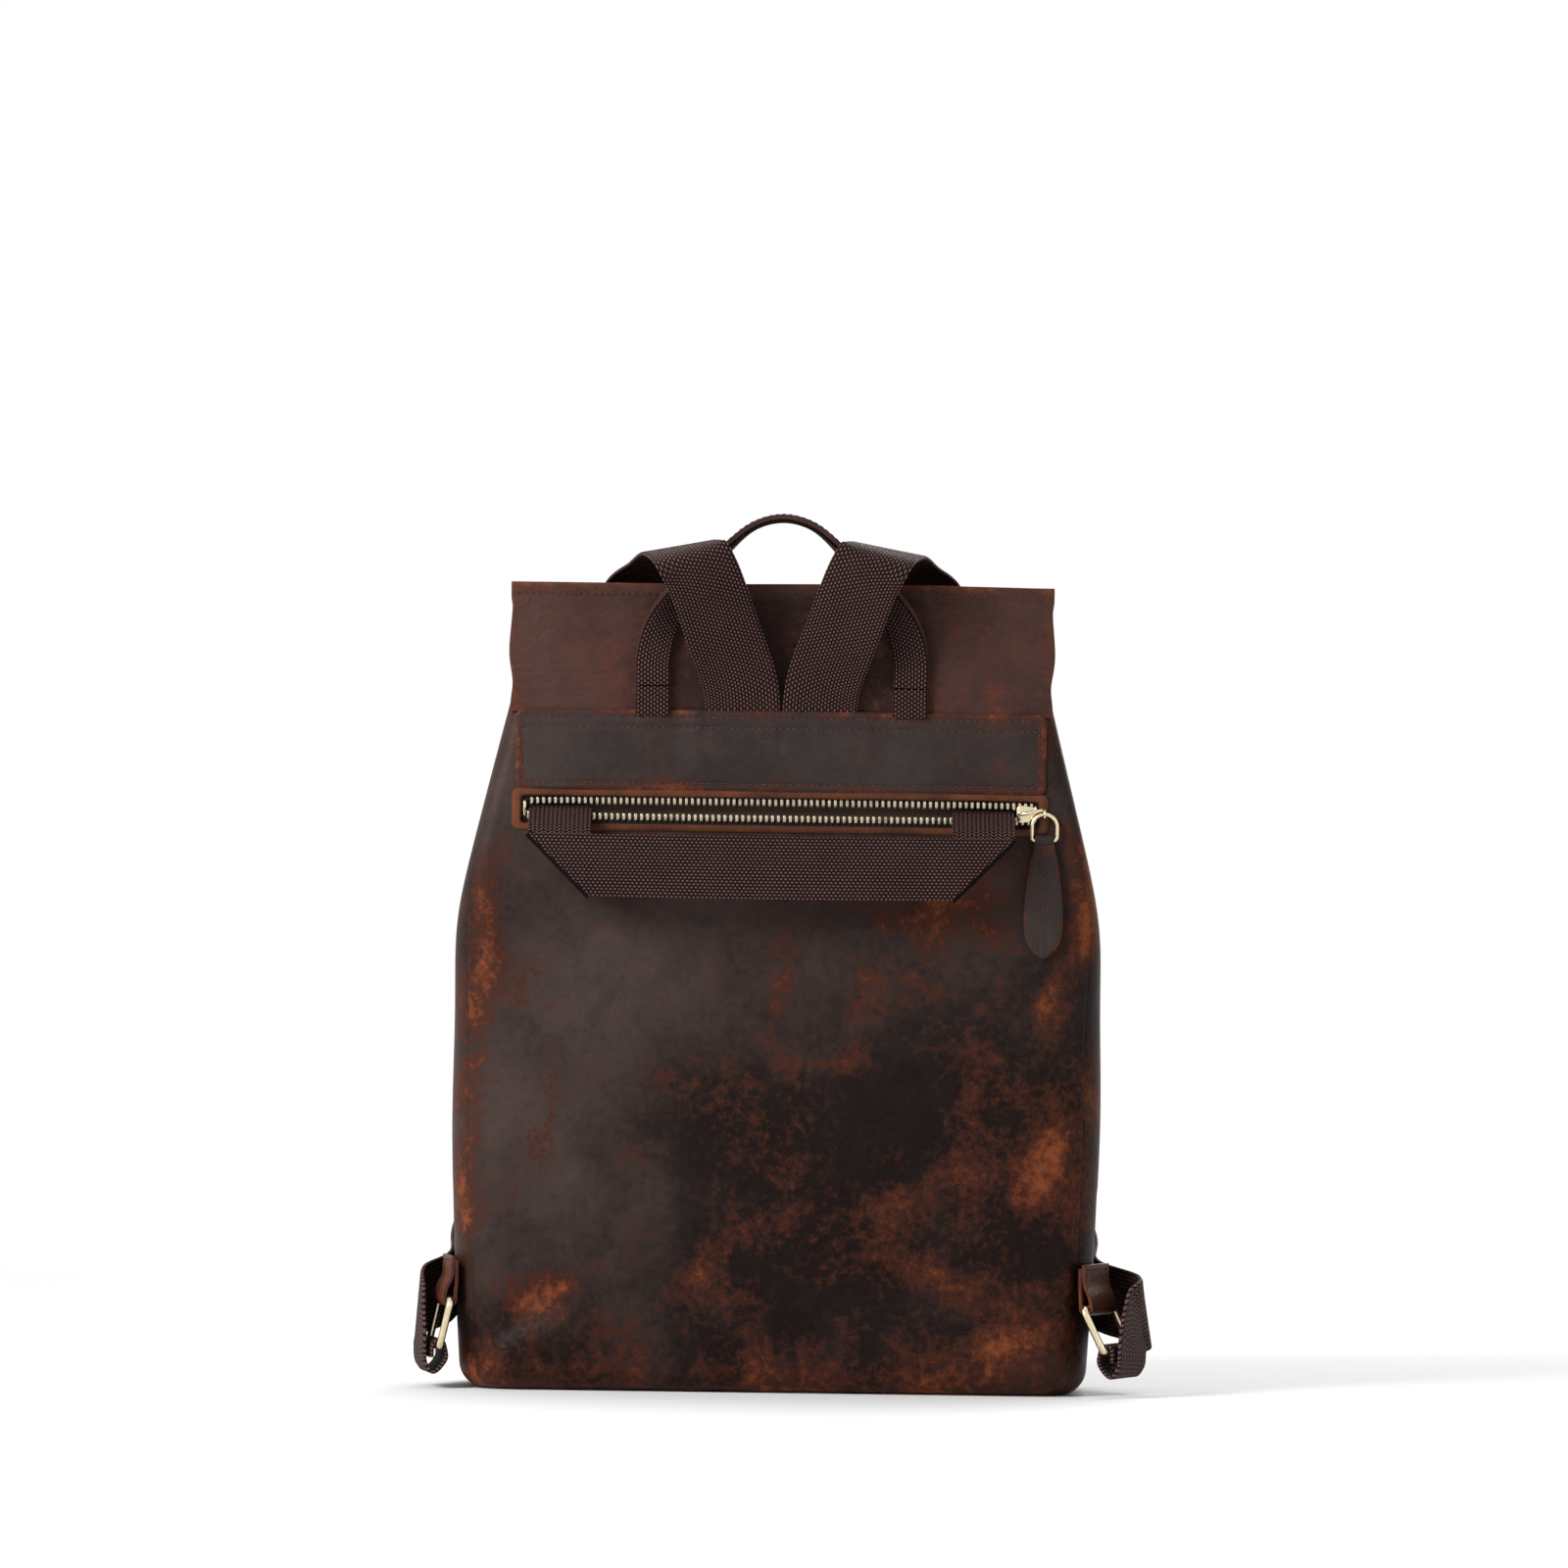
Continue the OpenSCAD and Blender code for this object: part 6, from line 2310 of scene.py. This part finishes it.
@dataclass
class SideRing:
    """Leather tab, brass ring and shoulder strap of one side.

    Attributes:
        shop: Frame and materials.
        form: Form of the body.
        flap: The flap that the strap lies over.
        sign: -1 on the left, 1 on the right.
        tilt: Outward tilt of the ring in degrees.
        turn: How far the tab is turned round the back edge, in degrees.
        bar_z: Height of the ring's upper bar.
        bar_r: Radius of the ring's wire.
        reach: Distance between the ring's bars.
        tab_len: Length of the leather tab.
        web_w: Width of the strap.
        web_t: Thickness of the strap.
        strap_x: Middle of the strap at the yoke.
        strap_y: Place of the strap at the yoke.
        hold: Length of the strap under the yoke.
        spread: How far the strap moves outward on its way to the flap's lower edge.
        bow: How far the strap bows out behind the riser.
        crest: How far the strap rises over the flap.
    """

    shop: Shop
    form: BodyForm
    flap: Flap
    sign: int
    tilt: float
    turn: float
    bar_z: float = 43.0
    bar_r: float = 1.8
    reach: float = 23.5
    tab_len: float = 21.0
    web_w: float = 36.0
    web_t: float = 2.0
    strap_x: float = 18.5
    strap_y: float = -61.5
    hold: float = 22.0
    spread: float = 91.0
    bow: float = 31.0
    crest: float = 16.5

    @property
    def name(self) -> str:
        """Name of the side."""
        return "left" if self.sign < 0 else "right"

    def beside(self, u: Any, z: Any, v: Any = 0.0) -> Array:
        """Points beside the ring's upper bar, which is turned round the back edge.

        Args:
            u: Distance outward from the bar.
            z: Height.
            v: Distance along the bar.

        Returns:
            Points on the left.
        """
        form, r = self.form, self.form.back_r
        side = max(form.half_w(self.bar_z - 4), form.half_w(self.bar_z + self.tab_len + 6))
        c, s = math.cos(math.radians(self.turn)), math.sin(math.radians(self.turn))
        out = r + self.bar_r + 0.1 + 1.7 + 0.6 + u
        return xyz(r - side - out * c - v * s, form.back_y + r - out * s + v * c, z)

    @property
    def bar_dir(self) -> Vec3:
        """Direction of the ring's bars on the left."""
        a = math.radians(self.turn)
        return -math.sin(a), math.cos(a), 0.0

    def mirrored(self, left: Array) -> Array:
        """Points worked out on the left, on this side."""
        return left * np.array([-self.sign, 1.0, 1.0])

    def make(self) -> None:
        """Makes the three pieces."""
        self.ring()
        self.tab()
        self.strap()

    def ring(self) -> None:
        """The brass ring with round corners."""
        a = math.radians(self.tilt)
        arm = self.web_w / 2 + self.bar_r + 0.5
        flat = evenly(rounded_box(-arm, arm, -self.reach, 0.0, 3.0, 7), 1.2)[:-1]
        pts = self.beside(-flat[:, 1] * math.sin(a), self.bar_z + flat[:, 1] * math.cos(a), flat[:, 0])
        build = self.shop.build(Paint.BRASS)
        build.tube(self.mirrored(pts), self.bar_r, True, 18)
        ring = f"ring_{self.name}"
        self.shop.ride(build.object(ring + "_cast"), ring, "brass", "strap_" + ring)

    def tab(self) -> None:
        """The leather tab, doubled round the ring's bar."""
        top = self.tab_len
        r = self.bar_r + 0.1 + 0.85
        round_bar = arc(0, 0, r, 0, -180, 16)
        outer = [(-1.5, top), (-1.45, top * 0.72), (-0.7, top * 0.5), (1.7, 5.2)]
        inner = [(-r - 0.15, 3.5), (-3.25, 9.5), (-3.25, top - 2)]
        above = spline([*outer, round_bar[0]], 8)[:-1]
        flat = np.concatenate([above, round_bar, spline([round_bar[-1], *inner], 8)[1:]])
        path = self.mirrored(self.beside(flat[:, 0], self.bar_z + flat[:, 1]))
        wide = self.mirrored(np.tile(self.bar_dir, (len(path), 1)))
        build = self.shop.build(Paint.TAB, Paint.RAW)
        section = cut_profile(self.web_w - 3, -0.85, 0.85, 8, 0.25)
        raw = (8, 9, 10, 19, 20, 21)
        build.sweep(path, wide, section, lambda k: 1 if k in raw else 0, rub=0.35)
        anchor = f"anchor_{self.name}"
        self.shop.ride(build.object(anchor + "_leather", 0.15), "bag", "trim_leather", "strap_" + anchor)
        half = self.web_w / 2 - 4.5
        box = evenly(rounded_box(-half, half, self.bar_z + 9.5, self.bar_z + top - 2.2, 1.0, 3), 1.0)
        line = self.mirrored(self.beside(-0.55, box[:, 1], box[:, 0]))
        self.shop.stitches(anchor + "_stitches", "bag", [line], 3.2)

    def loop(self) -> Array:
        """Last turns of the strap round the ring's lower bar.

        Returns:
            Points on the left.
        """
        a = math.radians(self.tilt)
        u, z = self.reach * math.sin(a), self.bar_z - self.reach * math.cos(a)
        r = self.bar_r + 0.3 + self.web_t / 2
        out, inner, dip = u + r + self.web_t + 1.2, u - r, max(self.web_t + 3, z - 12)
        flat = np.array([
            (u + 2.6, self.bar_z - 2, self.web_w * 0.72), (out - 0.3, z + 14.5, self.web_w / 4),
            (out + 0.4, z + 4, 1.5), (out, mix(z, dip, 0.6), 0), (mix(out, inner, 0.45), dip, 0),
            (inner - 0.4, mix(z, dip, 0.5), 0), (inner, z, 0), (u - r * 0.7, z + r * 0.72, 0),
            (u, z + r, 0), (u + r * 0.7, z + r * 0.72, 0),
            (u + r, z, 0), (u + r + 0.1, z - 5, 0),
        ])
        return self.beside(*flat.T)

    def course(self) -> tuple[Array, Array]:
        """Points and width directions of the strap on the left, from the yoke to the ring.

        Returns:
            Both, at the places that the curve passes through.
        """
        form, flap = self.form, self.flap
        seam, top, lid = form.seam_h, flap.top, flap.lid_z
        gap = self.web_t / 2 + 1.6
        crest = top + self.crest
        riser = top - seam - 1

        def front_at(z: float) -> float:
            """Middle of the strap in front of the flap."""
            return float(flap.cover_y(z)) + form.leather_t / 2 + gap

        def x(f: float) -> float:
            """Place across after a share of the spread."""
            return -self.strap_x - self.spread * f

        def y(f: float) -> float:
            """Place behind the riser after a share of the bow."""
            return self.strap_y - self.bow * f

        def wrap(f: float) -> float:
            """Height between the ring and the flap's lower edge."""
            return mix(self.bar_z, flap.low, f)

        def corner(z: float, a: float, off: float) -> Vec3:
            """Point round the front edge at an angle, off the leather."""
            r = form.edge_rad(z, False)
            c, s = math.cos(math.radians(a)), math.sin(math.radians(a))
            return r - form.half_w(z) - (r + off) * c, form.front_y(z) - r + (r + off) * s, z

        def front(px: float, f: float) -> Vec3:
            """Point in front of the flap."""
            z = mix(flap.low, flap.fold_z, f)
            return px, front_at(z), z

        def side(py: float, f: float, off: float) -> Vec3:
            """Point beside the gusset."""
            z = wrap(f)
            return -form.half_w(z) - off, py, z

        fold_y, fold_z, fold = flap.fold_y, flap.fold_z, flap.fold
        places = [
            (x(0), self.strap_y, seam - self.hold), (x(0), self.strap_y, seam - self.hold / 2),
            (x(0), self.strap_y, seam - 1), (x(0.022), y(0.18), seam + riser * 0.25),
            (x(0.11), y(0.57), seam + riser * 0.62), (x(0.21), y(0.96), top + 1),
            (x(0.285), y(1), top + self.crest * 0.8), (x(0.33), y(0.46), crest), (x(0.373), y(-0.21), crest),
            (x(0.44), y(-1), crest - self.crest * 0.4),
            (x(0.54), mix(self.strap_y, fold_y, 0.56), lid + gap + 7),
            (x(0.626), fold_y - fold * 0.86, lid - flap.drop + gap + 4),
            (x(0.68), fold_y + fold + 2, fold_z + fold * 0.9),
            (x(0.714), front_at(fold_z) + 0.6, fold_z - fold * 0.7),
            front(x(0.79), 0.66), front(x(0.89), 0.28), front(x(1), -0.012),
            corner(wrap(0.414), 86, gap + 0.6), corner(wrap(0.224), 60, gap + 0.9),
            corner(wrap(0.1), 30, gap + 1.1),
            side(self.web_w / 3, 0.026, gap + 1.2), *self.loop(),
        ]

        def wrap_dir(a: float, b: float) -> Vec3:
            """Width direction on a wall that faces an angle, turned by another."""
            ra, rb = math.radians(a), math.radians(b)
            return math.sin(ra) * math.sin(rb), math.cos(ra) * math.sin(rb), -math.cos(rb)

        dirs = [(1, 0, 0)] * 3 + [
            (1, 0, 0.15), (0.93, 0, 0.34), (0.92, 0.05, 0.36), (0.94, 0.14, 0.3), (0.96, 0.2, 0.22),
            (0.96, 0.24, 0.16), (0.95, 0.3, 0.05), (0.95, 0.28, 0), (0.97, 0.22, 0), (1, 0.1, -0.1),
            (1, 0, -0.12), (1, 0, -0.15), (0.98, 0, -0.18),
            wrap_dir(90, 78), wrap_dir(86, 66), wrap_dir(60, 52), wrap_dir(30, 31), wrap_dir(0, 13),
            wrap_dir(-self.turn, 18), wrap_dir(-self.turn, 50), wrap_dir(-self.turn, 84),
        ] + [self.bar_dir] * 9
        return np.array(places, float), np.array(dirs, float)

    def strap(self) -> None:
        """The shoulder strap in three lengths: under the yoke, over the flap, and at the ring."""
        n = 10
        path, widths = (self.mirrored(spline(v, n)) for v in self.course())
        node = f"shoulder_strap_{self.name}"
        ring = f"ring_{self.name}"
        section = flat_profile(self.web_w, self.web_t, 14)
        cut = 20 * n
        cuts = {"held": (0, 2 * n + 2), "over": (2 * n + 2, cut), "ring": (cut, len(path) - 1)}
        for part, (a, b) in cuts.items():
            build = self.shop.build(Paint.STRAP if part != "ring" else Paint.BAND)
            build.sweep(path[a : b + 1], widths[a : b + 1], section)
            piece = build.object(f"{node}_{part}")
            if part == "held":
                self.shop.ride(piece, "bag", "webbing", node)
            elif part == "over":
                self.shop.bend(piece, ("bag", "flap"), (0, 0, 100), (0, 0, 336), "webbing", node)
            else:
                run = path[cut + 2 * n] - path[cut]
                run -= np.dot(run, unit(widths[cut])) * unit(widths[cut])
                self.shop.bend(piece, ("bag", ring), path[cut] + run * 0.15, path[cut] + run, "webbing", node)


@dataclass
class Inside:
    """Lining, mouth facing and base board.

    Attributes:
        shop: Frame and materials.
        form: Form of the body.
        floor: Height of the floor.
    """

    shop: Shop
    form: BodyForm
    floor: float = 5.2

    def make(self) -> None:
        """Makes the inside."""
        self.lining()
        self.facing()
        board = self.shop.frame["nodes"]["base_board"]
        board.data.materials.clear()
        board.data.materials.append(self.shop.paints[Paint.BOARD])
        LOG.info("%s keeps its plain form", board.name)

    def lining(self) -> None:
        """The cloth bag inside, a little slack."""
        form = self.form
        rows = []
        for z in (self.floor + 0.2, self.floor + 1.2, 8.5, 12.0, *np.linspace(17, form.seam_h - 1.5, 66)):
            bend = math.sqrt(max(0.0, 9.6**2 - max(0.0, form.edge_r - z) ** 2))
            inset = float(form.edge_r - bend + 2.2 * ease((z - 6) / 10))
            behind = max(inset, 10.2 - 6.5 * float(ease((z - 299) / 24)))
            rows.append(xyz(*form.round(z, inset, behind).T, z))
        grid = np.array(rows)
        grid = np.concatenate([grid, grid[:, :1]], axis=1)
        x, y, z = grid[..., 0], grid[..., 1], grid[..., 2]
        slack = 0.5 + 0.5 * np.sin(x / 11 + y / 9 + 0.8 * np.sin(z / 31))
        inward = slack * 1.6 * ease((z - 20) / 40) * ease((form.seam_h - 6 - z) / 30)
        normals = grid_normals(grid)
        normals[:, -1] = normals[:, 0]
        inward[:, -1] = inward[:, 0]
        grid = grid - normals * inward[..., None]
        ring = grid[0]
        bottom = [mix(np.array([[0.0, 0.0, self.floor + 0.2]]), ring, s) for s in (0.02, 0.35, 0.7)]
        whole = np.concatenate([np.array(bottom), grid])
        whole[:3, :, 2] = self.floor + 0.2
        build = self.shop.build(Paint.LINING)
        build.sheet(whole, 0.7)
        piece = self.shop.ride(build.object("lining_cloth"), "bag", "lining", "lining")
        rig.sheet(piece, (0.84, 0.378), "hung", ["mouth_facing"], 0.272)

    def facing(self) -> None:
        """Leather facing inside the mouth on three sides."""
        form = self.form
        rows = []
        for z in np.linspace(326.0, form.rim_h - 0.2, 14):
            ring = [
                form.corner(z, 2.2, True, 1, 315, 360, 6), form.corner(z, 2.2, False, 1, 0, 90, 10),
                form.corner(z, 2.2, False, -1, 90, 180, 10), form.corner(z, 2.2, True, -1, 180, 225, 6),
            ]
            flat = evenly(np.concatenate(ring), 3.0)
            at = np.linspace(0, len(flat) - 1, 150)
            rows.append(xyz(*(np.interp(at, np.arange(len(flat)), v) for v in flat.T), z))
        build = self.shop.build(Paint.TAB, Paint.RAW)
        build.sheet(np.array(rows), 1.4, (0, 0, 1))
        self.shop.ride(build.object("facing_leather", 0.2), "bag", "body_leather", "mouth_facing")


# Studio


@dataclass
class Studio:
    """Camera, lamps, world and floor.

    Attributes:
        eye: Place of the camera in metres.
        lens: Focal length in millimetres.
        roll: Turn of the camera round its view in degrees.
    """

    eye: Vec3 = (0.0017, -6.0, 0.294)
    lens: float = 282.9
    roll: float = -0.78

    def camera(self) -> None:
        """Sets the camera at the photo's place."""
        data = bpy.data.cameras.new("camera")
        data.lens, data.sensor_width = self.lens, 36.0
        data.clip_start, data.clip_end = 0.05, 60.0
        camera = link("camera", data)
        camera.location = self.eye
        camera.rotation_euler = (math.pi / 2, math.radians(self.roll), 0.0)
        bpy.context.scene.camera = camera

    def lamp(self, name: str, place: Vec3, aim: Vec3, size: float, power: float) -> None:
        """Adds a soft lamp.

        Args:
            name: Name of the lamp.
            place: Where it stands in metres.
            aim: Where it points in metres.
            size: Side of its square in metres.
            power: Power in watts.
        """
        data = bpy.data.lights.new(name, "AREA")
        data.shape, data.size, data.energy = "SQUARE", size, power
        lamp = link(name, data)
        d = unit(np.array(aim) - np.array(place))
        lamp.location = place
        lamp.rotation_euler = (math.acos(-d[2]), 0.0, math.atan2(d[1], d[0]) - math.pi / 2)

    def world(self) -> None:
        """White to the eye and to metal, softer as light."""
        world = bpy.data.worlds.new("studio")
        world.use_nodes = True
        world.node_tree.nodes.clear()
        g = Graph(world.node_tree)
        seen = self.seen(g)
        light = g.node("ShaderNodeBackground", {}, {"Color": (1.0, 1.0, 1.0), "Strength": 0.24})
        white = g.node("ShaderNodeBackground", {}, {"Color": (1.0, 1.0, 1.0), "Strength": 1.0})
        both = g.node("ShaderNodeMixShader", {}, {0: seen, 1: light.outputs[0], 2: white.outputs[0]})
        g.node("ShaderNodeOutputWorld", {}, {"Surface": both.outputs[0]})
        bpy.context.scene.world = world

    @staticmethod
    def seen(g: Graph) -> Sock:
        """1 for rays that show the background itself.

        Args:
            g: Graph to build in.

        Returns:
            The share.
        """
        path = g.node("ShaderNodeLightPath").outputs
        rays = [Sock(g, path[name]) for name in ("Is Camera Ray", "Is Glossy Ray", "Is Transmission Ray")]
        return rays[0].apply("MAXIMUM", rays[1]).apply("MAXIMUM", rays[2])

    def floor(self) -> None:
        """A pale floor that fades into the white."""
        material = bpy.data.materials.new("floor")
        material.use_nodes = True
        material.node_tree.nodes.clear()
        g = Graph(material.node_tree)
        reach = g.out("ShaderNodeVectorMath", "Value", {"operation": "LENGTH"}, {0: g.place()})
        fade = reach.smooth(0.35, 1.6) * self.seen(g)
        tone = g.blend(g.noise(g.place(), 30.0), (0.9, 0.9, 0.9), (0.94, 0.94, 0.94))
        matt = {"Base Color": tone, "Roughness": 0.8, "Specular IOR Level": 0.2}
        pale = g.node("ShaderNodeBsdfPrincipled", {}, matt)
        white = g.node("ShaderNodeEmission", {}, {"Color": (1.0, 1.0, 1.0), "Strength": 1.0})
        both = g.node("ShaderNodeMixShader", {}, {0: fade, 1: pale.outputs[0], 2: white.outputs[0]})
        g.node("ShaderNodeOutputMaterial", {}, {"Surface": both.outputs[0]})
        mesh = bpy.data.meshes.new("floor")
        ring = arc(0, 0, 14.0, 0, 360, 64)[:-1]
        mesh.from_pydata([(x, y, 0.0) for x, y in ring], [], [list(range(64))])
        mesh.materials.append(material)
        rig.stage(link("floor", mesh))

    def make(self) -> None:
        """Sets up the studio."""
        self.camera()
        self.world()
        self.floor()
        self.lamp("key", (-1.2, -1.25, 1.15), (0.0, 0.0, 0.22), 0.8, 40.0)
        self.lamp("fill", (1.9, -1.8, 0.9), (0.0, 0.0, 0.2), 1.4, 6.0)
        self.lamp("top", (0.2, 0.5, 2.0), (0.0, 0.0, 0.25), 1.2, 18.0)
        self.lamp("front", (0.8, 2.4, 1.2), (0.0, 0.0, 0.2), 1.4, 30.0)
        bpy.context.scene.view_settings.view_transform = "Standard"


def box_list(box: Sequence[Sequence[float]]) -> list[list[float]]:
    """A box as plain numbers."""
    return [[round(float(v), 5) for v in corner] for corner in box]


def main() -> None:
    """Builds the whole scene."""
    logging.basicConfig(level=logging.INFO, format="%(name)s %(levelname)s %(message)s")
    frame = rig.load()
    plain = box_list(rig.bounds())
    shop = Shop(frame)
    form = BodyForm()
    flap = Flap(shop, form)
    BagBody(shop, form).make()
    YokeBand(shop, form).make()
    ZipPocket(shop, form).make()
    ZipPuller(shop).make()
    TrolleyStrap(shop).make()
    flap.make()
    Closure(shop, flap).make()
    TopHandle(shop).make()
    SideRing(shop, form, flap, -1, 13.0, 9.0).make()
    SideRing(shop, form, flap, 1, 28.0, 22.0).make()
    Inside(shop, form).make()
    Studio().make()
    SIZE_FILE.write_text(json.dumps({"frame": plain, "finished": box_list(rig.bounds())}))
    LOG.info("frame %s, finished %s", plain, box_list(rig.bounds()))


if __name__ == "__main__":
    main()
